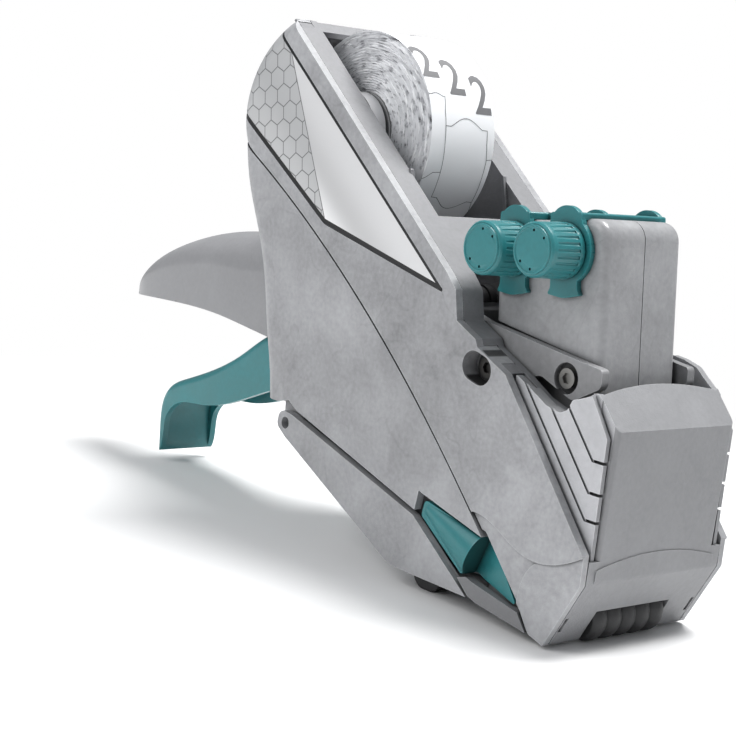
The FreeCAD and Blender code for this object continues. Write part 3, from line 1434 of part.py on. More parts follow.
def clip_slot():
    """Open slot beside the applicator opening, for the clip of the nose."""
    outline = [(47.6, 8.0), (45.6, 4.3), (41.0, 4.3), (41.0, 8.0)]
    return plate(outline, AXLE_HALF + 0.3, COVER_HALF - 0.4)


# Print head


def lower_edge(x):
    """Height of the slanting lower edge of the near head cover, in head coordinates."""
    return 4.6 + (13.2 - 4.6) * (0.4 - x) / (0.4 + 32.8)


def head_cover(near):
    """One half of the print head's cover, open below and towards the middle."""
    lift = 0.0 if near else 0.9
    w = HEAD_WALL
    flange_back = -w - 0.6
    profile = [
        (0.0, HEAD_FRONT_LOW),
        (0.0, HEAD_TOP, 4.6),
        (-HEAD_DEPTH, HEAD_TOP, 4.0),
        (-HEAD_DEPTH, lower_edge(-HEAD_DEPTH) + lift),
        (flange_back, lower_edge(flange_back) + lift),
        (flange_back, HEAD_FRONT_LOW),
    ]
    outer = plate(profile, SEAM / 2.0, HEAD_HALF)
    rim_edges = []
    for edge in outer.Edges:
        middle = edge.valueAt((edge.FirstParameter + edge.LastParameter) / 2.0)
        outline = middle.x > -w or middle.z > HEAD_TOP - 4.0 or middle.x < -HEAD_DEPTH + 1.0
        if abs(middle.y - HEAD_HALF) < 1e-4 and outline:
            rim_edges.append(edge)
    outer = outer.makeFillet(HEAD_EDGE_R, rim_edges)
    rear, roof = -HEAD_DEPTH + w, HEAD_TOP - w
    room = [(-w, -30.0), (-w, roof, 3.2), (rear, roof, 2.6), (rear, -30.0)]
    cover = outer.cut(plate(room, -1.0, HEAD_HALF - w))
    for x in (FRONT_KNOB_X, REAR_KNOB_X):
        cover = cover.cut(rod((x, KNOB_Z), KNOB_SHAFT_R + 1.0, HEAD_HALF - w - 1.0, HEAD_HALF + 1.0))
    cover = cover.cut(yoke_solid(0.12))
    shape = mirrored(cover) if near else cover
    return from_head(shape)


HEAD_FRONT_LOW = -9.5
HEAD_EDGE_R = 2.0
COLLAR_R = KNOB_R + 1.2
LOBE_R = 5.0


def yoke_solid(grow):
    """The yoke's own space: side collars with ears and lobes, and the bridge over the top."""
    low = HEAD_TOP - 0.4 - grow
    top = HEAD_TOP + YOKE_RISE
    y0, y1 = HEAD_HALF, HEAD_HALF + YOKE_T
    solids = []
    for x in (FRONT_KNOB_X, REAR_KNOB_X):
        collar = rod((x, KNOB_Z), COLLAR_R, y0, y1)
        lobe = rod((x, KNOB_Z + 5.1), LOBE_R, y0, y1)
        # Ear below the collar: a narrow neck that flares to a bowed lower end
        z = KNOB_Z - 10.0
        ear = plate(
            [
                (x - 4.0, KNOB_Z - 4.0),
                (x - 4.0, z + 1.6, 1.5),
                (x - 4.9, z + 0.2, 0.4),
                (x, z - 0.6, 7.0),
                (x + 4.9, z + 0.2, 0.4),
                (x + 4.0, z + 1.6, 1.5),
                (x + 4.0, KNOB_Z - 4.0),
            ],
            y0,
            y1,
        )
        x0, x1 = x - LOBE_R + 0.4, x + LOBE_R - 0.4
        strap = plate([(x0, low), (x1, low), (x1, top, 0.6), (x0, top, 0.6)], -y1, y1)
        solids += both_sides(collar) + both_sides(lobe) + both_sides(ear) + [strap]
    link = box(REAR_KNOB_X, FRONT_KNOB_X, -HEAD_HALF + 5.0, y1, low, top)
    return fuse_all(solids + [link])


def knob_yoke():
    """Clip over the head that carries the knobs and leaves a window between them."""
    low = HEAD_TOP - 0.4
    inside = box(-HEAD_DEPTH - 2.0, 2.0, -HEAD_HALF, HEAD_HALF, -20.0, low)
    yoke = yoke_solid(0.0).cut(inside)
    for x in (FRONT_KNOB_X, REAR_KNOB_X):
        yoke = yoke.cut(rod((x, KNOB_Z), KNOB_SHAFT_R + PIN_FIT, -HALF_WIDTH, HALF_WIDTH))
    return from_head(yoke)


def knob(x):
    """Ribbed knob with a raised rim on its face, one piece with its shaft."""
    y_in = HEAD_HALF + YOKE_T + 0.3
    y_face = KNOB_FACE
    r = KNOB_R
    profile = [
        (0.0, y_in),
        (r - 0.1, y_in),
        (r - 0.3, y_face - 1.6),
        (r - 0.3, y_face - 0.9),
        (r - 0.7, y_face - 0.4),
        (r - 1.0, y_face - 0.4),
        (r - 1.1, y_face),
        (r - 1.4, y_face),
        (r - 1.6, y_face - 0.25),
        (0.0, y_face - 0.25),
    ]
    points = [FreeCAD.Vector(x + a, -y, KNOB_Z) for a, y in profile]
    face = Part.Face(Part.makePolygon(points + [points[0]]))
    body = face.revolve(vec(x, KNOB_Z), FreeCAD.Vector(0, 1, 0), 360)
    grooves = []
    for k in range(KNOB_RIBS):
        a = 2.0 * math.pi * k / KNOB_RIBS
        centre = (x + (r + 0.1) * math.cos(a), KNOB_Z + (r + 0.1) * math.sin(a))
        grooves.append(rod(centre, 0.52, -y_face + 2.2, -y_in - 1.4))
    body = body.cut(grooves)
    for degrees in (85.0, 37.0, 217.0, 265.0):
        a = math.radians(degrees)
        centre = (x + (r - 2.2) * math.cos(a), KNOB_Z + (r - 2.2) * math.sin(a))
        body = body.cut(rod(centre, 0.35, -y_face - 1.0, -y_face + 0.7))
    shaft = rod((x, KNOB_Z), KNOB_SHAFT_R, -y_in - 1.0, HEAD_HALF + YOKE_T)
    return from_head(body.fuse(shaft).removeSplitter())


def belt_outline(circles):
    """Closed edges of a belt round circles (x, z, r) listed anticlockwise."""
    tangents = []
    count = len(circles)
    for i in range(count):
        x0, z0, r0 = circles[i]
        x1, z1, r1 = circles[(i + 1) % count]
        dx, dz = x1 - x0, z1 - z0
        length = math.hypot(dx, dz)
        beta = math.atan2(dz, dx)
        gamma = math.acos((r0 - r1) / length)
        a = beta - gamma
        leave = (x0 + r0 * math.cos(a), z0 + r0 * math.sin(a))
        reach = (x1 + r1 * math.cos(a), z1 + r1 * math.sin(a))
        tangents.append((leave, reach, a))
    edges = []
    for i in range(count):
        start, end, angle = tangents[i]
        edges.append(line(start, end))
        following = tangents[(i + 1) % count]
        x1, z1, r1 = circles[(i + 1) % count]
        sweep = (following[2] - angle) % (2.0 * math.pi)
        mid = angle + sweep / 2.0
        middle = vec(x1 + r1 * math.cos(mid), z1 + r1 * math.sin(mid))
        edges.append(Part.Arc(vec(*end), middle, vec(*following[0])).toShape())
    return edges


TYPE_GAP = 0.35
LINE_PITCH = 6.6
NOSE_HALF = 1.1


def type_nose(line_index, grow):
    """Circles that a type band runs round: its wheel and the two corners of its nose."""
    sign = 1.0 if line_index == 0 else -1.0
    back = TYPE_FACE_AT - sign * LINE_PITCH / 2.0
    r_nose = 0.7
    height = TYPE_GAP + STRIP_T / 2.0 + BAND_T + r_nose
    front = turned(path_point(back - NOSE_HALF, height), HEAD_PIVOT, -HEAD_STROKE)
    rear = turned(path_point(back + NOSE_HALF, height), HEAD_PIVOT, -HEAD_STROKE)
    wheel = head_point((FRONT_KNOB_X, REAR_KNOB_X)[line_index], KNOB_Z)
    nose = [(x, z, r_nose + grow) for x, z in (rear, front)]
    return nose + [(wheel[0], wheel[1], BAND_WHEEL_R + grow)]


def band_places():
    first = -BAND_PITCH * (BAND_COUNT - 1) / 2.0
    return [first + k * BAND_PITCH for k in range(BAND_COUNT)]


def type_bands(line_index):
    """Side-by-side rubber type bands of one printed line."""
    outer = belt_outline(type_nose(line_index, BAND_T))
    inner = belt_outline(type_nose(line_index, 0.03))
    bands = []
    half = BAND_WIDTH / 2.0
    for y in band_places():
        room = extrude_edges(inner, y - half - 1.0, y + half + 1.0)
        bands.append(extrude_edges(outer, y - half, y + half).cut(room))
    return Part.makeCompound(bands)


def band_wheels(line_index):
    """Toothed wheels inside the tops of the type bands, one for each band."""
    centre = head_point((FRONT_KNOB_X, REAR_KNOB_X)[line_index], KNOB_Z)
    half = BAND_WIDTH / 2.0 - 0.05
    wheels = []
    for y in band_places():
        wheels.append(ring(centre, BAND_WHEEL_R - 0.02, KNOB_SHAFT_R + PIN_FIT, y - half, y + half))
    return Part.makeCompound(wheels)


def nose_bar(line_index):
    """Bar at the lower end of the bands that presses the type on the label."""
    circles = type_nose(line_index, -0.03)
    rear, front = circles[0], circles[1]
    half = BAND_FIELD_HALF + BAND_GAP + TYPE_CHEEK
    return slot(rear[:2], front[:2], rear[2], -half, half)


def type_block():
    """Cheeks and bars that hold the lower ends of the bands inside the head."""
    half = BAND_FIELD_HALF + BAND_GAP
    a = type_nose(0, -0.03)
    b = type_nose(1, -0.03)
    outline = [
        head_point(-3.0, 12.0),
        head_point(-31.0, 20.0),
        (b[0][0] - 1.0, b[0][1] + 1.4),
        (b[0][0] + 0.2, b[0][1] - 0.4),
        (a[1][0] - 0.2, a[1][1] - 0.4),
        (a[1][0] + 1.2, a[1][1] + 1.6),
    ]
    cheeks = both_sides(plate(outline, half, half + TYPE_CHEEK))
    spacers = both_sides(rod(HEAD_SCREW, 3.4, half, ARM_INNER))
    block = fuse_all(cheeks + [nose_bar(0), nose_bar(1)] + spacers)
    for side in both_sides(rod(HEAD_SCREW, SCREW_R + PIN_FIT, half - 1.0, ARM_OUTER)):
        block = block.cut(side)
    return block


HEAD_SCREW = head_point(-7.4, 1.6)
HEAD_SCREW_SINK = 1.3


def head_carrier():
    """Fork that swings on the head pivot and holds the print head at its front end."""
    pivot = in_head(HEAD_PIVOT)
    pin = in_head(DRIVE_PIN)
    outline = [
        in_head((42.6, 62.0)) + (1.0,),
        in_head((42.9, 58.0)) + (2.0,),
        in_head((35.1, 53.6)) + (3.0,),
        in_head((23.5, 57.9)) + (3.0,),
        (pin[0] + 11.0, pin[1] - 3.4, 4.0),
        (pin[0] - 4.4, pin[1] - 3.6, 4.0),
        (pin[0] - 4.4, pin[1] + 6.0, 6.0),
        (pivot[0] - 3.0, pivot[1] - 5.4, 5.0),
        (pivot[0] - 5.4, pivot[1] + 3.0, 4.0),
        (pivot[0] + 4.0, pivot[1] + 5.6, 5.0),
        (-HEAD_DEPTH + 0.2, lower_edge(-HEAD_DEPTH) - 0.5, 2.0),
        (-4.9, lower_edge(-4.9) + 0.1, 0.5),
    ]
    arm = from_head(plate(outline, ARM_INNER, ARM_OUTER))
    arm = arm.cut(rod(HEAD_SCREW, 3.6, ARM_OUTER - HEAD_SCREW_SINK, ARM_OUTER + 1.0))
    arm = arm.cut(rod(HEAD_SCREW, SCREW_R + 0.35, ARM_INNER - 1.0, ARM_OUTER + 1.0))
    end = turned(turned(DRIVE_PIN, TRIGGER_PIVOT, TRIGGER_SWING), HEAD_PIVOT, -HEAD_STROKE)
    ends = (away(DRIVE_PIN, end, -0.4), away(end, DRIVE_PIN, -0.4))
    arm = arm.cut(slot(ends[0], ends[1], DRIVE_PIN_R + DRIVE_GAP, ARM_INNER - 1.0, ARM_OUTER + 1.0))
    arm = arm.cut(rod(HEAD_PIVOT, HEAD_PIVOT_R + PIN_FIT, ARM_INNER - 1.0, ARM_OUTER + 1.0))
    web_outline = [(-7.0, 64.6, 1.0), (-3.0, 63.8, 1.0), (-2.0, 68.4, 1.0), (-6.0, 69.2, 1.0)]
    web = plate(web_outline, -ARM_INNER - 0.5, ARM_INNER + 0.5)
    return fuse_all(both_sides(arm) + [web])


DRIVE_GAP = 0.16


def hex_screw(centre, y_seat, head_r, head_h, shank_r, length):
    """Socket-head screw whose head seats at y_seat, pointing inward."""
    head = rod(centre, head_r, y_seat, y_seat + head_h)
    shank = rod(centre, shank_r, y_seat - length, y_seat)
    screw = head.fuse(shank)
    flat = head_r * 0.5
    points = []
    for k in range(6):
        a = math.radians(60.0 * k)
        points.append((centre[0] + flat * math.cos(a) / 0.866, centre[1] + flat * math.sin(a) / 0.866))
    socket = plate(points, y_seat + head_h * 0.35, y_seat + head_h + 1.0)
    return screw.cut(socket).removeSplitter()


def head_screws():
    screw = hex_screw(HEAD_SCREW, ARM_OUTER - HEAD_SCREW_SINK + 0.02, 2.3, 1.1, SCREW_R, 5.0)
    return Part.makeCompound(both_sides(screw))


def housing_screws():
    seat = HALF_WIDTH - WELL_DEPTH + 0.02
    screw = hex_screw(HOUSING_SCREW, seat, 2.4, 1.4, SCREW_R, seat - FRAME_INNER - 0.3)
    return Part.makeCompound(both_sides(screw))


# Build and write every piece


def build():
    cover = side_cover()
    rear = rear_housing()
    latch = latch_button()
    label = sticker()
    hub = roll_hub()
    return {
        "main_frame": main_frame(),
        "right_side_cover": mirrored(cover),
        "left_side_cover": cover,
        "right_side_sticker": mirrored(label),
        "left_side_sticker": label,
        "right_rear_housing": mirrored(rear),
        "left_rear_housing": rear,
        "handle": handle(),
        "front_cover": front_cover(),
        "nose_base": nose_base(),
        "peel_plate": peel_plate(),
        "platen_pad": platen_pad(),
        "bottom_flap": bottom_flap(),
        "foot_bar": foot_bar(),
        "flap_hinge_pin": flap_hinge_pin(),
        "pressure_roller": pressure_roller(),
        "pressure_roller_axle": pressure_roller_axle(),
        "right_latch_button": mirrored(latch),
        "left_latch_button": latch,
        "trigger": trigger(),
        "trigger_pivot_pin": trigger_pivot_pin(),
        "trigger_spring": trigger_spring(),
        "head_carrier": head_carrier(),
        "head_pivot_shaft": head_pivot_shaft(),
        "guide_roller": guide_roller(),
        "right_head_cover": head_cover(True),
        "left_head_cover": head_cover(False),
        "knob_yoke": knob_yoke(),
        "front_knob": knob(FRONT_KNOB_X),
        "rear_knob": knob(REAR_KNOB_X),
        "front_type_bands": type_bands(0),
        "rear_type_bands": type_bands(1),
        "front_band_wheels": band_wheels(0),
        "rear_band_wheels": band_wheels(1),
        "type_block": type_block(),
        "head_screws": head_screws(),
        "housing_screws": housing_screws(),
        "ink_roller": ink_roller(),
        "ink_cartridge": ink_cartridge(),
        "ink_pins": ink_pins(),
        "feed_wheel": feed_wheel(),
        "feed_pinion": feed_pinion(),
        "feed_shaft": feed_shaft(),
        "applicator_roller": applicator_roller(),
        "applicator_axle": applicator_axle(),
        "label_roll": label_roll(),
        "roll_core": roll_core(),
        "right_roll_hub": mirrored(hub),
        "left_roll_hub": hub,
        "label_strip": label_strip(),
    }


os.makedirs("parts", exist_ok=True)
for name, shape in build().items():
    solids = shape.Solids
    valid = all(s.isValid() for s in solids)
    print("%-24s solids %d volume %.1f valid %s" % (name, len(solids), shape.Volume, valid))
    shape.exportStep("parts/" + name + ".step")
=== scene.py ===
# %% [markdown]
# The price labeler, dressed for a studio picture.
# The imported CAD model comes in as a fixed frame. Every visible piece is either that CAD
# node with a better finish, or a new piece that stands where the node stands.

import json
import math

import bmesh
import bpy
from mathutils import Matrix, Vector


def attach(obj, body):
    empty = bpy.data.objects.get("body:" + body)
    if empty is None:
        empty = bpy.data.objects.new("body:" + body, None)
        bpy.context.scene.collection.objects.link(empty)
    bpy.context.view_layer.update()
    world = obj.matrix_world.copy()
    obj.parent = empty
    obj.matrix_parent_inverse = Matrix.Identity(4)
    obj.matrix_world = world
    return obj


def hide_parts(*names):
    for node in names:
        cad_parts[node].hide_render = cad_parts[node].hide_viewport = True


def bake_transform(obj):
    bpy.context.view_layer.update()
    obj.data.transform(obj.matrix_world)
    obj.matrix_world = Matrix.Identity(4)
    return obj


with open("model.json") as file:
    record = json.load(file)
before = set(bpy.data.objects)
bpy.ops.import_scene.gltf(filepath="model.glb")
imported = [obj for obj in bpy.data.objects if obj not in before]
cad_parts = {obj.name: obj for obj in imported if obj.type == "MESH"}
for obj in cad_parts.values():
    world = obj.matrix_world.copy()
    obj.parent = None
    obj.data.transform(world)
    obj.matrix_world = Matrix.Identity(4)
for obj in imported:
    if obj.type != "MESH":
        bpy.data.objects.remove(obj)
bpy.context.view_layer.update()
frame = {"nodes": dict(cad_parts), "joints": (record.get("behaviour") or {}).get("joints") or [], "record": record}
nodes = frame["nodes"]

MM = 0.001


def joint_place(name):
    """The place of a joint in the frame, as a vector."""
    return Vector(next(j["pos_m"] for j in frame["joints"] if j["name"] == name))


# %% [markdown]
# Camera. The photograph was taken close up, so its perspective is strong: the camera
# stands 0.4 m away, a little above the hood, with a short telephoto lens. Its three
# axes are written as directions in the frame, which keeps the roll of the picture.

# %% Camera
CAMERA_PLACE = Vector((0.28190, -0.29568, 0.11582))
CAMERA_RIGHT = Vector((0.64555, 0.75544, 0.11210))
CAMERA_DOWN = Vector((0.19419, -0.02042, -0.98075))
CAMERA_AHEAD = Vector((-0.73861, 0.65490, -0.15988))
FOCAL_PIXELS = 1700.0
PICTURE_PIXELS = 736.0
SENSOR = 36.0

camera_data = bpy.data.cameras.new("studio_camera")
camera_data.sensor_width = SENSOR
camera_data.lens = FOCAL_PIXELS / PICTURE_PIXELS * SENSOR
camera_data.clip_start = 0.01
camera = bpy.data.objects.new("studio_camera", camera_data)
bpy.context.scene.collection.objects.link(camera)
turn = Matrix((CAMERA_RIGHT, -CAMERA_DOWN, -CAMERA_AHEAD)).transposed().to_4x4()
camera.matrix_world = Matrix.Translation(CAMERA_PLACE) @ turn
bpy.context.scene.camera = camera
print("lens", round(camera_data.lens, 2), "mm")

# %% [markdown]
# Lamps. A product picture of this kind has a strong soft lamp overhead and a little
# behind, so that upper facets are bright and the shadow falls towards the camera. A
# second one stands on the camera's left for the long side, a weak one in front of the
# nose. The world gives an even fill.

# %% Lamps
bpy.context.scene.view_settings.view_transform = "Standard"


def soft_lamp(name, place, aim, width, watts, tint=(1.0, 1.0, 1.0)):
    """A square area lamp at a place, turned towards a point."""
    data = bpy.data.lights.new(name, "AREA")
    data.size = width
    data.energy = watts
    data.color = tint
    lamp = bpy.data.objects.new(name, data)
    lamp.location = place
    lamp.rotation_euler = (Vector(aim) - Vector(place)).to_track_quat("-Z", "Y").to_euler()
    bpy.context.scene.collection.objects.link(lamp)
    return lamp


MIDDLE = (-0.02, 0.0, 0.06)
soft_lamp("top_lamp", (0.10, 0.38, 1.2), MIDDLE, 0.55, 25.0)
soft_lamp("side_lamp", (-0.40, -0.95, 0.80), MIDDLE, 0.8, 9.5)
soft_lamp("front_lamp", (1.2, 0.2, 0.35), MIDDLE, 0.7, 0.8)

world = bpy.data.worlds.new("studio_air")
bpy.context.scene.world = world
world.use_nodes = True
air = world.node_tree
air.nodes.clear()
seen = air.nodes.new("ShaderNodeLightPath")
bright = air.nodes.new("ShaderNodeBackground")
bright.inputs["Color"].default_value = (1.0, 1.0, 1.0, 1.0)
bright.inputs["Strength"].default_value = 1.0
plain = air.nodes.new("ShaderNodeBackground")
plain.inputs["Color"].default_value = (0.93, 0.96, 1.0, 1.0)
plain.inputs["Strength"].default_value = 0.36
choose = air.nodes.new("ShaderNodeMixShader")
out = air.nodes.new("ShaderNodeOutputWorld")
air.links.new(seen.outputs["Is Camera Ray"], choose.inputs["Fac"])
air.links.new(plain.outputs["Background"], choose.inputs[1])
air.links.new(bright.outputs["Background"], choose.inputs[2])
air.links.new(choose.outputs["Shader"], out.inputs["Surface"])

# %% [markdown]
# Floor. It stays a real pale surface near the labeler, so the soft shadow falls on it,
# and turns into plain white further out, where the camera would otherwise see the lamps
# fall off. The change follows the distance from the middle.

# %% Floor
FLOOR_HALF = 6.0
WHITE_FROM = 0.13
WHITE_AT = 0.30

floor_mesh = bmesh.new()
bmesh.ops.create_grid(floor_mesh, x_segments=1, y_segments=1, size=FLOOR_HALF)
floor_data = bpy.data.meshes.new("studio_floor")
floor_mesh.to_mesh(floor_data)
floor_mesh.free()
floor = bpy.data.objects.new("studio_floor", floor_data)
bpy.context.scene.collection.objects.link(floor)
floor_material = bpy.data.materials.new("white_floor")
floor_material.use_nodes = True
tree = floor_material.node_tree
paint = tree.nodes["Principled BSDF"]
paint.inputs["Base Color"].default_value = (0.80, 0.80, 0.80, 1.0)
paint.inputs["Roughness"].default_value = 0.6
white = tree.nodes.new("ShaderNodeEmission")
white.inputs["Strength"].default_value = 1.0
place = tree.nodes.new("ShaderNodeTexCoord")
reach = tree.nodes.new("ShaderNodeVectorMath")
reach.operation = "LENGTH"
fade = tree.nodes.new("ShaderNodeMapRange")
fade.interpolation_type = "SMOOTHSTEP"
fade.inputs["From Min"].default_value = WHITE_FROM
fade.inputs["From Max"].default_value = WHITE_AT
for_camera = tree.nodes.new("ShaderNodeMixShader")
path = tree.nodes.new("ShaderNodeLightPath")
mix = tree.nodes.new("ShaderNodeMixShader")
tree.links.new(place.outputs["Object"], reach.inputs[0])
tree.links.new(reach.outputs["Value"], fade.inputs["Value"])
tree.links.new(fade.outputs["Result"], for_camera.inputs["Fac"])
tree.links.new(paint.outputs["BSDF"], for_camera.inputs[1])
tree.links.new(white.outputs["Emission"], for_camera.inputs[2])
tree.links.new(path.outputs["Is Camera Ray"], mix.inputs["Fac"])
tree.links.new(paint.outputs["BSDF"], mix.inputs[1])
tree.links.new(for_camera.outputs["Shader"], mix.inputs[2])
tree.links.new(mix.outputs["Shader"], tree.nodes["Material Output"].inputs["Surface"])
floor_data.materials.append(floor_material)

# %% [markdown]
# Finishes. Nearly everything here is moulded plastic with a fine satin texture. What
# makes it look real is small: a grain of a few tenths of a millimetre, clouds of
# slightly different grey where the plastic flowed in the mould, thin darker flow marks,
# and a sheen that changes with them. Edges are painted lighter, a painted highlight, and
# the narrow gaps between shells are painted darker, a painted shade found by ambient
# occlusion. Those are one shared node group, and each plastic sets its own strengths.

# %% Small builders for node groups


def new_group(name, inputs, outputs):
    """An empty shader node group with float inputs (name, value) and named outputs."""
    group = bpy.data.node_groups.new(name, "ShaderNodeTree")
    for label, value in inputs:
        socket = group.interface.new_socket(label, in_out="INPUT", socket_type="NodeSocketFloat")
        socket.default_value = value
    for label, kind in outputs:
        group.interface.new_socket(label, in_out="OUTPUT", socket_type=kind)
    return group, group.nodes.new("NodeGroupInput"), group.nodes.new("NodeGroupOutput")


def noise(group, scale, detail=2.0, rough=0.5, distortion=0.0):
    """A noise texture in Object coordinates, its value centred on nought."""
    place = group.nodes.new("ShaderNodeTexCoord")
    texture = group.nodes.new("ShaderNodeTexNoise")
    texture.inputs["Scale"].default_value = scale
    texture.inputs["Detail"].default_value = detail
    texture.inputs["Roughness"].default_value = rough
    texture.inputs["Distortion"].default_value = distortion
    group.links.new(place.outputs["Object"], texture.inputs["Vector"])
    return maths(group, "SUBTRACT", texture.outputs["Fac"], 0.5)


def maths(group, operation, a, b=0.0):
    """A Math node; a and b are sockets or numbers."""
    node = group.nodes.new("ShaderNodeMath")
    node.operation = operation
    for index, value in enumerate((a, b)):
        if isinstance(value, (int, float)):
            node.inputs[index].default_value = value
        else:
            group.links.new(value, node.inputs[index])
    return node.outputs[0]


def ramped(group, value, low, high, to_low=0.0, to_high=1.0):
    """A smooth step of a value from one range to another."""
    node = group.nodes.new("ShaderNodeMapRange")
    node.interpolation_type = "SMOOTHSTEP"
    ends = {"From Min": low, "From Max": high, "To Min": to_low, "To Max": to_high}
    for label, number in ends.items():
        node.inputs[label].default_value = number
    group.links.new(value, node.inputs["Value"])
    return node.outputs["Result"]


def vector_maths(group, operation, a, b=None):
    """A Vector Math node; a and b are sockets or tuples."""
    node = group.nodes.new("ShaderNodeVectorMath")
    node.operation = operation
    for index, value in enumerate((a, b)):
        if value is None:
            continue
        if isinstance(value, tuple):
            node.inputs[index].default_value = value
        else:
            group.links.new(value, node.inputs[index])
    return node.outputs["Value" if operation in ("LENGTH", "DOT_PRODUCT") else "Vector"]


# %% Shared texture of moulded plastic
satin, satin_in, satin_out = new_group(
    "satin_moulding",
    [
        ("Grain", 1.0),
        ("Drift", 1.0),
        ("Base Roughness", 0.45),
        ("Edge Highlight", 0.35),
        ("Gap Shade", 0.8),
        ("Gap Reach", 0.0016),
    ],
    [
        ("Height", "NodeSocketFloat"),
        ("Lightness", "NodeSocketFloat"),
        ("Roughness", "NodeSocketFloat"),
    ],
)
grain = noise(satin, 2600.0, 3.0, 0.6)
speck = noise(satin, 800.0, 2.0, 0.5)
cloud = noise(satin, 62.0, 6.0, 0.62, 0.6)
slow = noise(satin, 22.0, 2.0, 0.5)
flow = noise(satin, 40.0, 2.0, 0.5, 1.2)
mark = ramped(satin, maths(satin, "ABSOLUTE", flow), 0.0, 0.02, 1.0, 0.0)
height = maths(satin, "ADD", grain, maths(satin, "MULTIPLY", speck, 0.8))
height = maths(satin, "MULTIPLY", height, satin_in.outputs["Grain"])
satin.links.new(height, satin_out.inputs["Height"])
clouds = maths(satin, "ADD", cloud, maths(satin, "MULTIPLY", slow, 0.8))
clouds = maths(satin, "ADD", clouds, maths(satin, "MULTIPLY", speck, 0.45))
clouds = maths(satin, "SUBTRACT", clouds, maths(satin, "MULTIPLY", mark, 0.07))
swing = maths(satin, "ADD", maths(satin, "MULTIPLY", clouds, satin_in.outputs["Drift"]), 1.0)
# Painted shade: ambient occlusion darkens the colour in narrow gaps and creases between shells.
crevice = satin.nodes.new("ShaderNodeAmbientOcclusion")
crevice.samples = 5
satin.links.new(satin_in.outputs["Gap Reach"], crevice.inputs["Distance"])
open_air = ramped(satin, crevice.outputs["AO"], 0.25, 0.92)
shade = maths(satin, "SUBTRACT", 1.0, open_air)
shade = maths(satin, "MULTIPLY", shade, satin_in.outputs["Gap Shade"])
shade = maths(satin, "SUBTRACT", 1.0, shade)
# Painted highlight: where the bevelled normal turns away from the surface normal, at edges, the colour is made
# lighter.
soft_edge = satin.nodes.new("ShaderNodeBevel")
soft_edge.samples = 5
soft_edge.inputs["Radius"].default_value = 0.45 * MM
facing = satin.nodes.new("ShaderNodeNewGeometry")
alike = satin.nodes.new("ShaderNodeVectorMath")
alike.operation = "DOT_PRODUCT"
satin.links.new(soft_edge.outputs["Normal"], alike.inputs[0])
satin.links.new(facing.outputs["Normal"], alike.inputs[1])
edge = ramped(satin, alike.outputs["Value"], 0.80, 0.995, 1.0, 0.0)
edge = maths(satin, "MULTIPLY", edge, open_air)
edge = maths(satin, "ADD", maths(satin, "MULTIPLY", edge, satin_in.outputs["Edge Highlight"]), 1.0)
light = maths(satin, "MULTIPLY", maths(satin, "MULTIPLY", swing, shade), edge)
satin.links.new(light, satin_out.inputs["Lightness"])
rougher = maths(satin, "MULTIPLY", cloud, 0.35)
rougher = maths(satin, "ADD", rougher, satin_in.outputs["Base Roughness"])
satin.links.new(rougher, satin_out.inputs["Roughness"])
print("shared groups", [g.name for g in bpy.data.node_groups])

# %% [markdown]
# The plastics. Body parts are a cool mid grey, the setting parts a muted teal. The same
# recipe with other numbers also gives rubber, which is darker, rougher and deeper in
# grain, and the loose fibres of paper.

# %% Moulded materials


def moulded(name, colour, roughness, grain_amount, drift_amount, sheen=0.5, edge=0.35, shaded_wells=()):
    """A moulded plastic or rubber.

    shaded_wells are painted shade in recesses, each as x, z, radius and reach from the
    middle.
    """
    material = bpy.data.materials.new(name)
    material.use_nodes = True
    tree = material.node_tree
    shader = tree.nodes["Principled BSDF"]
    shader.inputs["Specular IOR Level"].default_value = sheen
    group = tree.nodes.new("ShaderNodeGroup")
    group.node_tree = satin
    group.inputs["Grain"].default_value = grain_amount
    group.inputs["Drift"].default_value = drift_amount
    group.inputs["Base Roughness"].default_value = roughness
    # edge sets the strength of the painted highlight along edges.
    group.inputs["Edge Highlight"].default_value = edge
    tint = tree.nodes.new("ShaderNodeVectorMath")
    tint.operation = "SCALE"
    tint.inputs[0].default_value = colour
    level = group.outputs["Lightness"]
    # Painted shade: the colour is darkened in a round patch over each screw well.
    for x, z, radius, reach in shaded_wells:
        spot = tree.nodes.new("ShaderNodeTexCoord").outputs["Object"]
        away = vector_maths(tree, "SUBTRACT", spot, (x * MM, 0.0, z * MM))
        away = vector_maths(tree, "LENGTH", vector_maths(tree, "MULTIPLY", away, (1.0, 0.0, 1.0)))
        apart = tree.nodes.new("ShaderNodeSeparateXYZ")
        tree.links.new(spot, apart.inputs[0])
        sunk = maths(tree, "LESS_THAN", maths(tree, "ABSOLUTE", apart.outputs["Y"]), reach * MM)
        round_hole = ramped(tree, away, (radius - 0.2) * MM, radius * MM, 0.92, 0.0)
        dark = maths(tree, "MULTIPLY", sunk, round_hole)
        level = maths(tree, "MULTIPLY", level, maths(tree, "SUBTRACT", 1.0, dark))
    tree.links.new(level, tint.inputs["Scale"])
    tree.links.new(tint.outputs["Vector"], shader.inputs["Base Color"])
    tree.links.new(group.outputs["Roughness"], shader.inputs["Roughness"])
    bump = tree.nodes.new("ShaderNodeBump")
    bump.inputs["Strength"].default_value = 0.35
    bump.inputs["Distance"].default_value = 0.00012
    tree.links.new(group.outputs["Height"], bump.inputs["Height"])
    tree.links.new(bump.outputs["Normal"], shader.inputs["Normal"])
    return material


# Round patches of painted shade over the screw wells of the side cover and of the carrier.
SCREW_WELL = (13.4, 57.0, 4.35, 24.4)
HEAD_SCREW_WELL = (32.47, 58.24, 3.65, 60.0)

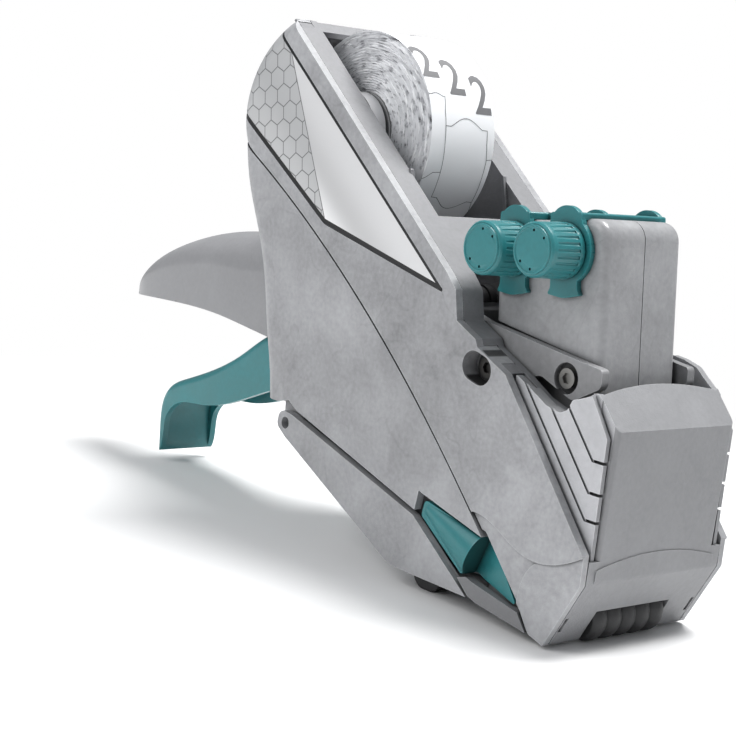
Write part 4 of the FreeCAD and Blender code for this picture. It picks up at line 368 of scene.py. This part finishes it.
body_gray = moulded("body_gray", (0.285, 0.287, 0.297), 0.44, 1.0, 0.85)
cover_gray = moulded("cover_gray", (0.280, 0.282, 0.292), 0.42, 1.0, 1.0, shaded_wells=[SCREW_WELL])
handle_gray = moulded("handle_gray", (0.225, 0.226, 0.234), 0.33, 0.25, 0.30, edge=0.1)
frame_gray = moulded("frame_gray", (0.172, 0.173, 0.181), 0.5, 1.0, 0.5)
hood_gray = moulded("hood_gray", (0.225, 0.227, 0.235), 0.5, 1.8, 0.4)
base_gray = moulded("base_gray", (0.165, 0.166, 0.172), 0.5, 1.4, 0.4)
# A lighter copy of the hood grey, painted light for the hood's sideways faces.
lit_cheek_gray = moulded("lit_cheek_gray", (0.420, 0.422, 0.438), 0.5, 1.4, 0.4)
arm_gray = moulded("arm_gray", (0.21, 0.211, 0.217), 0.45, 1.0, 0.6, shaded_wells=[HEAD_SCREW_WELL])
head_gray = moulded("head_gray", (0.285, 0.287, 0.295), 0.34, 0.8, 0.7)
teal = moulded("teal", (0.020, 0.160, 0.172), 0.33, 0.6, 0.4)
# Lighter copies of the grey and the teal: a painted highlight for the rounded edges.
highlight_gray = moulded("highlight_gray", (0.58, 0.582, 0.595), 0.34, 0.4, 0.3)
highlight_teal = moulded("highlight_teal", (0.10, 0.36, 0.37), 0.30, 0.3, 0.2)
# A darker copy of the teal, painted shade for the end of the latch swell.
shaded_teal = moulded("shaded_teal", (0.010, 0.060, 0.062), 0.45, 0.6, 0.25)
black_rubber = moulded("black_rubber", (0.018, 0.018, 0.019), 0.5, 2.0, 0.6)
type_rubber = moulded("type_rubber", (0.05, 0.05, 0.055), 0.6, 1.6, 0.4)
type_gray = moulded("type_gray", (0.16, 0.16, 0.165), 0.5, 0.8, 0.3)
dark_plastic = moulded("dark_plastic", (0.03, 0.03, 0.032), 0.4, 0.8, 0.3)
white_plastic = moulded("white_plastic", (0.50, 0.50, 0.51), 0.4, 0.6, 0.1)
cartridge_yellow = moulded("cartridge_yellow", (0.72, 0.56, 0.02), 0.4, 0.6, 0.15)
ink_foam = moulded("ink_foam", (0.012, 0.012, 0.014), 0.7, 3.0, 0.4)
paper = moulded("label_paper", (0.74, 0.745, 0.76), 0.6, 0.5, 0.06, 0.3)
print_gray = moulded("print_gray", (0.150, 0.150, 0.155), 0.55, 0.4, 0.2, 0.3)
print_line = moulded("print_line", (0.16, 0.16, 0.165), 0.6, 0.4, 0.2, 0.3)

# %% [markdown]
# Steel. Turned pins and pressed sheet are bright and slightly streaked. A noise that is
# stretched across the part gives the streaks, in colour and in roughness.

# %% Steel


def steel(name, colour, roughness):
    """Metal with fine streaks along Y."""
    material = bpy.data.materials.new(name)
    material.use_nodes = True
    tree = material.node_tree
    shader = tree.nodes["Principled BSDF"]
    shader.inputs["Metallic"].default_value = 1.0
    place = tree.nodes.new("ShaderNodeTexCoord")
    stretch = tree.nodes.new("ShaderNodeMapping")
    stretch.inputs["Scale"].default_value = (900.0, 60.0, 900.0)
    streak = tree.nodes.new("ShaderNodeTexNoise")
    streak.inputs["Scale"].default_value = 1.0
    streak.inputs["Detail"].default_value = 3.0
    ramp = tree.nodes.new("ShaderNodeMapRange")
    ramp.inputs["To Min"].default_value = roughness - 0.08
    ramp.inputs["To Max"].default_value = roughness + 0.12
    shade = tree.nodes.new("ShaderNodeMixRGB")
    shade.inputs[1].default_value = tuple(c * 0.8 for c in colour) + (1.0,)
    shade.inputs[2].default_value = tuple(colour) + (1.0,)
    tree.links.new(place.outputs["Object"], stretch.inputs["Vector"])
    tree.links.new(stretch.outputs["Vector"], streak.inputs["Vector"])
    tree.links.new(streak.outputs["Fac"], ramp.inputs["Value"])
    tree.links.new(ramp.outputs["Result"], shader.inputs["Roughness"])
    tree.links.new(streak.outputs["Fac"], shade.inputs[0])
    tree.links.new(shade.outputs["Color"], shader.inputs["Base Color"])
    return material


bright_steel = steel("bright_steel", (0.62, 0.61, 0.59), 0.28)
spring_steel = steel("spring_steel", (0.42, 0.42, 0.42), 0.34)
screw_steel = steel("screw_steel", (0.24, 0.235, 0.225), 0.30)
# A darker copy of the steel, painted shade for the housing screws deep in their wells.
shaded_steel = steel("shaded_steel", (0.07, 0.068, 0.065), 0.45)

# %% [markdown]
# Dressing a CAD node. A CAD mesh is loose triangles with knife edges, while a moulded
# edge has a small radius that catches light. A copy of the mesh is merged, its edges
# are marked by angle, and a Bevel modifier rounds them. The rounded faces take a lighter
# finish of their own, a painted highlight. The copy replaces the node.

# %% Helpers that dress a node
MERGE = 2e-6
SAME_WAY = 0.985

bodies = frame["record"]["behaviour"]["bodies"]
body_of = {n: b for b, members in bodies.items() for n in members}


def merged(node):
    """A copy of a CAD node's mesh with its loose corners joined."""
    mesh = bmesh.new()
    mesh.from_mesh(nodes[node].data)
    bmesh.ops.remove_doubles(mesh, verts=mesh.verts, dist=MERGE)
    return mesh


def placed(name, data, body):
    """A new object from a mesh, riding on a body."""
    piece = bpy.data.objects.new(name, data)
    bpy.context.scene.collection.objects.link(piece)
    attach(piece, body)
    return piece


def dressed(node, name, material, edge=0.25, highlight_finish=None, end=None, angle=35.0):
    """A merged copy of a CAD node with rounded edges, in the node's place.

    highlight_finish is a lighter finish of the rounded edges, a painted highlight. end is a
    finish painted lighter or darker as light or shade, and the line the faces that take it look along.
    """
    mesh = merged(node)
    bmesh.ops.dissolve_degenerate(mesh, edges=mesh.edges, dist=1e-6)
    along = Vector() if end is None else Vector(end[1]).normalized()
    for face in mesh.faces:
        face.material_index = int(abs(face.normal.dot(along)) > SAME_WAY)
    data = bpy.data.meshes.new(name)
    mesh.to_mesh(data)
    mesh.free()
    data.shade_smooth()
    data.set_sharp_from_angle(angle=math.radians(angle))
    data.materials.append(material)
    if end is not None:
        data.materials.append(end[0])
    data.materials.append(highlight_finish or material)
    piece = placed(name, data, body_of[node])
    if edge > 0.0:
        bevel = piece.modifiers.new("rounded_edges", "BEVEL")
        bevel.width = edge * MM
        bevel.segments = 2
        # Painted highlight: the bevel faces take the lighter edge finish.
        bevel.material = len(data.materials) - 1
        bevel.limit_method = "ANGLE"
        bevel.angle_limit = math.radians(angle)
        bevel.harden_normals = True
        bevel.use_clamp_overlap = True
        bevel.miter_outer = "MITER_ARC"
        even = piece.modifiers.new("even_shading", "WEIGHTED_NORMAL")
        even.keep_sharp = True
        even.weight = 60
    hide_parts(node)
    return piece


def painted(node, material):
    """A CAD node that keeps its mesh and gets a finish."""
    data = nodes[node].data
    data.materials.clear()
    data.materials.append(material)


# %% Dress the casing
casing_edges = {
    "right_side_cover": 0.3,
    "left_side_cover": 0.3,
    "right_rear_housing": 0.25,
    "left_rear_housing": 0.25,
    "handle": 0.3,
    "bottom_flap": 0.3,
    "nose_base": 0.3,
}
shell_finish = {
    "right_side_cover": cover_gray,
    "left_side_cover": cover_gray,
    "handle": handle_gray,
    "nose_base": base_gray,
}
edge_finish = {"handle": handle_gray}
for node, edge in casing_edges.items():
    finish = shell_finish.get(node, body_gray)
    dressed(node, node + "_shell", finish, edge, edge_finish.get(node, highlight_gray))
dressed("main_frame", "main_frame_moulding", frame_gray, 0.25, highlight_gray)
# Painted light: the faces of the hood that look sideways take the lighter grey.
LIT_CHEEKS = (lit_cheek_gray, (0.0, 1.0, 0.0))
dressed("front_cover", "front_cover_moulding", hood_gray, 0.3, highlight_gray, LIT_CHEEKS)

# %% Dress the print head
dressed("right_head_cover", "right_head_cover_shell", head_gray, 0.2, highlight_gray)
dressed("left_head_cover", "left_head_cover_shell", head_gray, 0.2, highlight_gray)
dressed("head_carrier", "head_carrier_moulding", arm_gray, 0.25, highlight_gray)
dressed("knob_yoke", "knob_yoke_clip", teal, 0.25, highlight_teal)
dressed("front_knob", "front_knob_moulding", teal, 0.12, highlight_teal)
dressed("rear_knob", "rear_knob_moulding", teal, 0.12, highlight_teal)

# %% Dress the moving plastic parts
dressed("trigger", "trigger_lever", teal, 0.3, highlight_teal)
# Painted shade: the end faces of the latch swell, which look down and forward, take the darker teal.
SHADED_SWELL_END = (shaded_teal, (0.9, 0.0, -0.42))
dressed("right_latch_button", "right_latch_moulding", teal, 0.2, highlight_teal, SHADED_SWELL_END)
dressed("left_latch_button", "left_latch_moulding", teal, 0.2, highlight_teal, SHADED_SWELL_END)
dressed("foot_bar", "foot_bar_rubber", black_rubber, 0.4)

# %% [markdown]
# Return spring of the lever. It is a coil of wire round the pivot whose long legs bear on
# the lever, so the legs swing with the lever while the coil stays near the casing. One
# merged copy of the CAD node stands in its place.

# %% Return spring
mesh = merged("trigger_spring")
spring_data = bpy.data.meshes.new("return_spring")
mesh.to_mesh(spring_data)
mesh.free()
spring_data.shade_smooth()
spring_data.set_sharp_from_angle(angle=math.radians(35.0))
spring_data.materials.append(spring_steel)
return_spring = bpy.data.objects.new("return_spring", spring_data)
bpy.context.scene.collection.objects.link(return_spring)
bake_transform(return_spring)
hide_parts("trigger_spring")

# %% [markdown]
# The printed side panels. Each is a silver-white foil, darker along its lower edge. The
# groove round it is painted shade: a thin black line along the top edge and a broad one
# along the two lower edges. Its rear third carries a plain net of six-sided cells in grey
# lines. Everything is drawn from the place in the frame, seen from the side, so it also
# runs round the back corner.

# %% Net of six-sided cells
CELL = 5.2 * MM
cells, cells_in, cells_out = new_group("cell_net", [("Line", 0.03)], [("Mask", "NodeSocketFloat")])


def cell_offset(group, place, shift):
    """Offset from the nearest cell middle of one of the two rows of cells."""
    period = (1.0, 1.0, math.sqrt(3.0))
    half = (0.5, 0.5, math.sqrt(3.0) / 2.0)
    far = (40.0 + shift[0], 0.0, 40.0 * math.sqrt(3.0) + shift[1])
    moved = vector_maths(group, "ADD", place, far)
    return vector_maths(group, "SUBTRACT", vector_maths(group, "MODULO", moved, period), half)


flat = cells.nodes.new("ShaderNodeMapping")
flat.inputs["Scale"].default_value = (1.0 / CELL, 0.0, 1.0 / CELL)
flat.inputs["Rotation"].default_value = (0.0, math.radians(9.0), 0.0)
spot = cells.nodes.new("ShaderNodeTexCoord")
cells.links.new(spot.outputs["Object"], flat.inputs["Vector"])
level = vector_maths(cells, "MULTIPLY", flat.outputs["Vector"], (1.0, 0.0, 1.0))
here = cell_offset(cells, level, (0.0, 0.0))
here = vector_maths(cells, "MULTIPLY", here, (1.0, 0.0, 1.0))
there = cell_offset(cells, level, (0.5, math.sqrt(3.0) / 2.0))
there = vector_maths(cells, "MULTIPLY", there, (1.0, 0.0, 1.0))
here_far = vector_maths(cells, "LENGTH", here)
there_far = vector_maths(cells, "LENGTH", there)
nearer = maths(cells, "LESS_THAN", here_far, there_far)
pick = cells.nodes.new("ShaderNodeMix")
pick.data_type = "VECTOR"
cells.links.new(nearer, pick.inputs["Factor"])
cells.links.new(there, pick.inputs["A"])
cells.links.new(here, pick.inputs["B"])
beside = vector_maths(cells, "ABSOLUTE", pick.outputs["Result"])
sloped = vector_maths(cells, "DOT_PRODUCT", beside, (0.5, 0.0, math.sqrt(3.0) / 2.0))
straight = vector_maths(cells, "DOT_PRODUCT", beside, (1.0, 0.0, 0.0))
to_line = maths(cells, "SUBTRACT", 0.5, maths(cells, "MAXIMUM", sloped, straight))
on_line = maths(cells, "LESS_THAN", to_line, cells_in.outputs["Line"])
cells.links.new(on_line, cells_out.inputs["Mask"])
print("cells", round(CELL / MM, 1), "mm across")

# %% Foil of the side panels
PANEL_TOP = ((-72.6, 129.0), (0.2, 72.0))
PANEL_LOW = ((-46.2, 82.3), (0.2, 72.0))
PANEL_REAR = ((-82.9, 105.2), (-46.2, 82.3))
PANEL_BASE = ((-98.0, 105.2), (-82.9, 105.2))
NET_EDGE = ((-67.2, 124.8), (-46.4, 83.9))
THIN_GROOVE_SHADE = 0.75
BROAD_GROOVE_SHADE = 1.05
NET_EDGE_LINE = 0.16
SILVER_REACH = 24.0


def beyond(group, place, ends, sign):
    """Distance of a place from a line in the side view, in millimetres."""
    (x0, z0), (x1, z1) = ends
    length = math.hypot(x1 - x0, z1 - z0)
    normal = (-(z1 - z0) / length * sign, (x1 - x0) / length * sign)
    along = vector_maths(group, "DOT_PRODUCT", place, (normal[0] * 1000.0, 0.0, normal[1] * 1000.0))
    return maths(group, "SUBTRACT", along, normal[0] * x0 + normal[1] * z0)


foil = bpy.data.materials.new("silver_foil")
foil.use_nodes = True
tree = foil.node_tree
shader = tree.nodes["Principled BSDF"]
shader.inputs["Roughness"].default_value = 0.34
shader.inputs["Metallic"].default_value = 0.25
spot = tree.nodes.new("ShaderNodeTexCoord").outputs["Object"]
from_top = beyond(tree, spot, PANEL_TOP, -1.0)
from_low = beyond(tree, spot, PANEL_LOW, 1.0)
from_rear = beyond(tree, spot, PANEL_REAR, 1.0)
from_rear = maths(tree, "MAXIMUM", from_rear, beyond(tree, spot, PANEL_BASE, 1.0))
from_net = beyond(tree, spot, NET_EDGE, -1.0)
# Painted shade of the groove round the panel, as black lines along its top and lower edges.
thin = maths(tree, "LESS_THAN", from_top, THIN_GROOVE_SHADE)
broad = maths(tree, "LESS_THAN", maths(tree, "MINIMUM", from_low, from_rear), BROAD_GROOVE_SHADE)
groove_shade = maths(tree, "MAXIMUM", thin, broad)
net = tree.nodes.new("ShaderNodeGroup")
net.node_tree = cells
net.inputs["Line"].default_value = 0.028
in_net = maths(tree, "GREATER_THAN", from_net, 0.0)
frame_line = maths(tree, "LESS_THAN", maths(tree, "ABSOLUTE", from_net), NET_EDGE_LINE)
lines = maths(tree, "MAXIMUM", maths(tree, "MULTIPLY", net.outputs["Mask"], in_net), frame_line)
across = ramped(tree, from_top, 0.0, SILVER_REACH)
silver = tree.nodes.new("ShaderNodeValToRGB")
silver.color_ramp.interpolation = "B_SPLINE"
for position, value in ((0.0, 0.64), (0.30, 0.54), (0.65, 0.42), (1.0, 0.54)):
    stops = silver.color_ramp.elements
    stop = stops[0] if position == 0.0 else stops.new(position)
    stop.position = position
    stop.color = (value, value, value * 1.01, 1.0)
tree.links.new(across, silver.inputs["Fac"])
ground = tree.nodes.new("ShaderNodeMixRGB")
ground.inputs[2].default_value = (0.40, 0.405, 0.41, 1.0)
tree.links.new(silver.outputs["Color"], ground.inputs[1])
tree.links.new(maths(tree, "MULTIPLY", in_net, 0.8), ground.inputs[0])
drawn = tree.nodes.new("ShaderNodeMixRGB")
drawn.inputs[2].default_value = (0.12, 0.12, 0.125, 1.0)
tree.links.new(ground.outputs["Color"], drawn.inputs[1])
tree.links.new(maths(tree, "MULTIPLY", lines, 0.85), drawn.inputs[0])
# The near-black colour below is the painted shade of the groove.
groove_shaded = tree.nodes.new("ShaderNodeMixRGB")
groove_shaded.inputs[2].default_value = (0.010, 0.010, 0.011, 1.0)
tree.links.new(drawn.outputs["Color"], groove_shaded.inputs[1])
tree.links.new(groove_shade, groove_shaded.inputs[0])
tree.links.new(groove_shaded.outputs["Color"], shader.inputs["Base Color"])
painted("right_side_sticker", foil)
painted("left_side_sticker", foil)

# %% [markdown]
# The loaded roll. More than a hundred turns of thin paper show as a fan of crinkled
# edges on each side, because the labels were cut with a wavy knife. One profile with a
# ridge for each visible turn is spun round the axis, and the ridges are then pushed in
# and out by waves whose phase differs from turn to turn. The outermost turn stays round.

# %% Crinkled roll
ROLL = joint_place("label_roll_spin")
ROLL_R = 25.8 * MM
ROLL_BORE = 10.25 * MM
ROLL_HALF = 11.0 * MM
TURNS = 26
ROUND = 200
TURN_STEP = (ROLL_R - 0.25 * MM - ROLL_BORE) / TURNS


def ridge_profile():
    """Radius and depth of the ridges of one side, from the core outwards."""
    points = []
    for k in range(TURNS):
        inner = ROLL_BORE + k * TURN_STEP
        points.append((inner, 0.75 * MM))
        points.append((inner + 0.55 * TURN_STEP, 0.2 * MM))
    return points + [(ROLL_R - 0.12 * MM, 0.15 * MM)]


def crinkle(turn, angle, side):
    """How far a ridge is pushed in at an angle, and how far outwards."""
    seed = turn * 2.399 + side * 1.1
    inward = 0.40 * math.sin(2.0 * angle + seed * 1.7) + 0.30 * math.sin(7.0 * angle + seed * 5.1)
    inward += (
        0.16 * math.sin(17.0 * angle + seed * 9.3)
        + 0.07 * math.sin(41.0 * angle + seed * 2.9)
    )
    outward = (
        0.20 * math.sin(6.0 * angle + seed * 0.35)
        + 0.11 * math.sin(15.0 * angle + seed * 0.6)
    )
    return (inward + 0.5) * MM, outward * MM


mesh = bmesh.new()
half_profile = ridge_profile()
line = [(r, -ROLL_HALF + d) for r, d in half_profile]
line += [(r, ROLL_HALF - d) for r, d in reversed(half_profile)]
points = [mesh.verts.new((r, y, 0.0)) for r, y in line + [line[0]]]
edges = [mesh.edges.new(pair) for pair in zip(points, points[1:])]
bmesh.ops.spin(
    mesh,
    geom=points + edges,
    cent=(0, 0, 0),
    axis=(0, 1, 0),
    angle=math.tau,
    steps=ROUND,
    use_merge=True,
)
bmesh.ops.remove_doubles(mesh, verts=mesh.verts, dist=1e-7)
for vert in mesh.verts:
    radius = math.hypot(vert.co.x, vert.co.z)
    if radius < ROLL_BORE + 0.1 * MM or radius > ROLL_R - 0.2 * MM:
        continue
    angle = math.atan2(vert.co.z, vert.co.x)
    side = -1.0 if vert.co.y < 0.0 else 1.0
    turn_number = round((radius - ROLL_BORE) / TURN_STEP - 0.25)
    inward, outward = crinkle(turn_number, angle, side)
    # The outer turns stand proud and loose, the inner ones are wound tight
    loose = 0.45 + 0.75 * (radius / ROLL_R) ** 3
    vert.co.y -= side * min(max(inward * loose, 0.0), 1.2 * MM)
    vert.co.x += math.cos(angle) * outward * loose
    vert.co.z += math.sin(angle) * outward * loose
bmesh.ops.recalc_face_normals(mesh, faces=mesh.faces)
bmesh.ops.translate(mesh, verts=mesh.verts, vec=ROLL)
roll_data = bpy.data.meshes.new("wound_labels")
mesh.to_mesh(roll_data)
print("roll faces", len(mesh.faces))
mesh.free()
roll_data.shade_smooth()
roll_data.set_sharp_from_angle(angle=math.radians(40.0))

# %% [markdown]
# Paper edges. From the side the turns are white, with painted shade in the gaps between
# them: grey lines, and short black flecks where it is deepest. Bands that follow the distance
# from the axis give the gaps, and a noise stretched along the turns gives the flecks.

# %% Paper of the roll
rolled = bpy.data.materials.new("rolled_paper")
rolled.use_nodes = True
tree = rolled.node_tree
shader = tree.nodes["Principled BSDF"]
shader.inputs["Roughness"].default_value = 0.62
shader.inputs["Specular IOR Level"].default_value = 0.3
spot = tree.nodes.new("ShaderNodeTexCoord").outputs["Object"]
centred = vector_maths(tree, "SUBTRACT", spot, tuple(ROLL))
radial = vector_maths(tree, "LENGTH", vector_maths(tree, "MULTIPLY", centred, (1.0, 0.0, 1.0)))
apart = tree.nodes.new("ShaderNodeSeparateXYZ")
tree.links.new(centred, apart.inputs[0])
around = maths(tree, "ARCTAN2", apart.outputs["Z"], apart.outputs["X"])
unrolled = tree.nodes.new("ShaderNodeCombineXYZ")
tree.links.new(maths(tree, "MULTIPLY", radial, 2600.0), unrolled.inputs["X"])
tree.links.new(maths(tree, "MULTIPLY", around, 6.5), unrolled.inputs["Y"])
fleck = tree.nodes.new("ShaderNodeTexNoise")
fleck.inputs["Scale"].default_value = 1.0
fleck.inputs["Detail"].default_value = 3.0
fleck.inputs["Roughness"].default_value = 0.6
tree.links.new(unrolled.outputs["Vector"], fleck.inputs["Vector"])
inside_turns = ramped(tree, radial, ROLL_R - 0.5 * MM, ROLL_R - 0.25 * MM, 1.0, 0.0)
# Painted shade between the turns: grey lines and black flecks from one stretched noise.
painted_gap_shade = maths(tree, "MULTIPLY", ramped(tree, fleck.outputs["Fac"], 0.50, 0.64), inside_turns)
painted_deep_shade = ramped(tree, fleck.outputs["Fac"], 0.655, 0.69)
painted_deep_shade = maths(tree, "MULTIPLY", painted_deep_shade, inside_turns)
gap_shaded = tree.nodes.new("ShaderNodeMixRGB")
gap_shaded.inputs[1].default_value = (0.80, 0.805, 0.82, 1.0)
gap_shaded.inputs[2].default_value = (0.42, 0.42, 0.44, 1.0)
tree.links.new(painted_gap_shade, gap_shaded.inputs[0])
deep_shaded = tree.nodes.new("ShaderNodeMixRGB")
deep_shaded.inputs[2].default_value = (0.03, 0.03, 0.03, 1.0)
tree.links.new(gap_shaded.outputs["Color"], deep_shaded.inputs[1])
tree.links.new(maths(tree, "MULTIPLY", painted_deep_shade, 0.85), deep_shaded.inputs[0])
tree.links.new(deep_shaded.outputs["Color"], shader.inputs["Base Color"])
roll_data.materials.append(rolled)
wound = placed("wound_labels", roll_data, body_of["label_roll"])
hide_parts("label_roll")

# %% [markdown]
# Print on the outer turn. Each label carries a row of three plain figures, one lower
# than the other because the web was wound askew, and below them thin cut lines with
# wavy ends. A figure is flat text made into a mesh, cut into strips one millimetre wide
# so that it bends, and wrapped round the roll just proud of the paper.

# %% Wrapping
PRINT_R = ROLL_R - 0.06 * MM
LABELS_ROUND = 3


def wrapped(mesh, start):
    """Bend a flat mesh (X across the roll, Y round it, in millimetres) onto the roll."""
    low = min(v.co.y for v in mesh.verts)
    high = max(v.co.y for v in mesh.verts)
    cut = math.floor(low) + 1.0
    while cut < high:
        geometry = mesh.verts[:] + mesh.edges[:] + mesh.faces[:]
        bmesh.ops.bisect_plane(
            mesh, geom=geometry, dist=1e-5, plane_co=(0, cut, 0), plane_no=(0, 1, 0)
        )
        cut += 1.0
    for vert in mesh.verts:
        angle = start + vert.co.y * MM / PRINT_R
        radius = PRINT_R + vert.co.z * MM
        away = (radius * math.cos(angle), vert.co.x * MM, radius * math.sin(angle))
        vert.co = ROLL + Vector(away)


def flat_text(body, width, height, weight):
    """A flat mesh of a figure of a given width and height, in millimetres."""
    curve = bpy.data.curves.new("figure", "FONT")
    curve.body = body
    curve.size = height
    curve.offset = weight
    curve.resolution_u = 3
    holder = bpy.data.objects.new("figure", curve)
    bpy.context.scene.collection.objects.link(holder)
    depsgraph = bpy.context.evaluated_depsgraph_get()
    data = bpy.data.meshes.new_from_object(holder.evaluated_get(depsgraph))
    bpy.data.objects.remove(holder)
    xs = [v.co.x for v in data.vertices]
    ys = [v.co.y for v in data.vertices]
    fit = Matrix.Diagonal((width / (max(xs) - min(xs)), height / (max(ys) - min(ys)), 1.0, 1.0))
    data.transform(fit @ Matrix.Translation((-min(xs), -min(ys), 0.0)))
    return data


# %% Figures on the labels
figure = flat_text("2", 5.5, 10.9, 0.16)
FIGURE_PLACES = ((-10.9, 37.4), (-3.4, 27.8), (4.5, 17.8))
figures = bmesh.new()
for label in range(LABELS_ROUND):
    for across, baseline in FIGURE_PLACES:
        one = bmesh.new()
        one.from_mesh(figure)
        bmesh.ops.remove_doubles(one, verts=one.verts, dist=1e-4)
        bmesh.ops.translate(one, verts=one.verts, vec=(across, 0.0, 0.0))
        wrapped(one, math.radians(baseline) + label * math.tau / LABELS_ROUND)
        piece = bpy.data.meshes.new("one_figure")
        one.to_mesh(piece)
        one.free()
        figures.from_mesh(piece)
        bpy.data.meshes.remove(piece)
figure_data = bpy.data.meshes.new("label_figures")
figures.to_mesh(figure_data)
print("figure faces", len(figures.faces))
figures.free()
figure_data.materials.append(print_gray)
placed("label_figures", figure_data, body_of["label_roll"])

# %% Cut lines of the labels
DEGREE = PRINT_R / MM * math.radians(1.0)
LEFT_EDGE = ((-5.5, 26.0), (-6.1, 17.5), (-6.1, 0.4), (-5.3, -24.1), (-4.9, -32.1))
RIGHT_EDGE = ((8.2, 8.8), (8.3, 1.1), (9.0, -7.6), (9.1, -16.1), (9.7, -34.3), (10.9, -41.5))


def wave(start, end, bow, sign):
    """A bowed line whose ends are drawn out flat, from one point to another."""
    points = []
    for k in range(17):
        t = k / 16.0
        swell = min(max((t - 0.12) / 0.76, 0.0), 1.0)
        rise = bow * (0.5 - 0.5 * math.cos(math.tau * swell)) ** 0.6
        x = start[0] + (end[0] - start[0]) * t
        points.append((x, start[1] + (end[1] - start[1]) * t + sign * rise))
    return points


def drawn_line(mesh, points, width=0.17):
    """A thin flat ribbon along a line of points, given across and in degrees round."""
    for (x0, a0), (x1, a1) in zip(points, points[1:]):
        y0, y1 = a0 * DEGREE, a1 * DEGREE
        length = math.hypot(x1 - x0, y1 - y0)
        stretch = Matrix.Diagonal((length + width, width, 1.0, 1.0))
        swing = Matrix.Rotation(math.atan2(y1 - y0, x1 - x0), 4, "Z")
        spot = Matrix.Translation(((x0 + x1) / 2.0, (y0 + y1) / 2.0, 0.0))
        laid = spot @ swing @ stretch
        bmesh.ops.create_grid(mesh, x_segments=1, y_segments=1, size=0.5, matrix=laid)


cut_lines = [
    LEFT_EDGE,
    RIGHT_EDGE,
    wave((-6.1, 9.6), (8.2, 8.8), 5.4, 1.0),
    wave((-4.9, -32.1), (9.7, -34.3), 6.6, -1.0),
    wave((-10.8, 27.0), (-5.5, 26.0), 1.2, 1.0),
    ((-10.9, -20.9), (-10.0, -20.0), (-8.1, -16.8), (-5.5, -16.3)),
    ((9.0, -7.6), (10.9, -7.0)),
]
lines_mesh = bmesh.new()
for label in range(LABELS_ROUND):
    one = bmesh.new()
    for line in cut_lines:
        drawn_line(one, line)
    wrapped(one, label * math.tau / LABELS_ROUND)
    piece = bpy.data.meshes.new("one_frame")
    one.to_mesh(piece)
    one.free()
    lines_mesh.from_mesh(piece)
    bpy.data.meshes.remove(piece)
line_data = bpy.data.meshes.new("label_lines")
lines_mesh.to_mesh(line_data)
print("line faces", len(lines_mesh.faces))
lines_mesh.free()
line_data.materials.append(print_line)
placed("label_lines", line_data, body_of["label_roll"])

# %% [markdown]
# Corners of the rim. The rim flange runs on to the back skin of the cover and closes
# the corner there. A short bar on each side carries the flange through.

# %% Rim corners
RIM_SLOPE = math.atan2(0.63, 0.78)
RIM_TOP = 131.9
corner_mesh = bmesh.new()
for side in (-1.0, 1.0):
    reach = Matrix.Diagonal((3.6 * MM, 4.4 * MM, 1.0 * MM, 1.0))
    lean = Matrix.Rotation(RIM_SLOPE, 4, "Y")
    spot = Matrix.Translation((-67.9 * MM, side * 20.4 * MM, 130.75 * MM))
    bmesh.ops.create_cube(corner_mesh, size=1.0, matrix=spot @ lean @ reach)
# The bars end just under the top of the CAD model
for vert in corner_mesh.verts:
    vert.co.z = min(vert.co.z, RIM_TOP * MM)
corner_data = bpy.data.meshes.new("rim_corners")
corner_mesh.to_mesh(corner_data)
corner_mesh.free()
corner_data.materials.append(frame_gray)
placed("rim_corners", corner_data, body_of["main_frame"])

# %% Finishes of the nodes that keep their mesh
finishes = {
    "peel_plate": bright_steel,
    "platen_pad": black_rubber,
    "flap_hinge_pin": bright_steel,
    "pressure_roller": black_rubber,
    "pressure_roller_axle": bright_steel,
    "trigger_pivot_pin": bright_steel,
    "head_pivot_shaft": bright_steel,
    "guide_roller": dark_plastic,
    "front_type_bands": type_rubber,
    "rear_type_bands": type_rubber,
    "front_band_wheels": white_plastic,
    "rear_band_wheels": white_plastic,
    "type_block": type_gray,
    "head_screws": screw_steel,
    # Painted shade: the housing screws take the darker steel.
    "housing_screws": shaded_steel,
    "ink_roller": ink_foam,
    "ink_cartridge": cartridge_yellow,
    "ink_pins": bright_steel,
    "feed_wheel": dark_plastic,
    "feed_pinion": white_plastic,
    "feed_shaft": bright_steel,
    "applicator_roller": black_rubber,
    "applicator_axle": bright_steel,
    "roll_core": white_plastic,
    "right_roll_hub": white_plastic,
    "left_roll_hub": white_plastic,
    "label_strip": paper,
}
for node, material in finishes.items():
    painted(node, material)
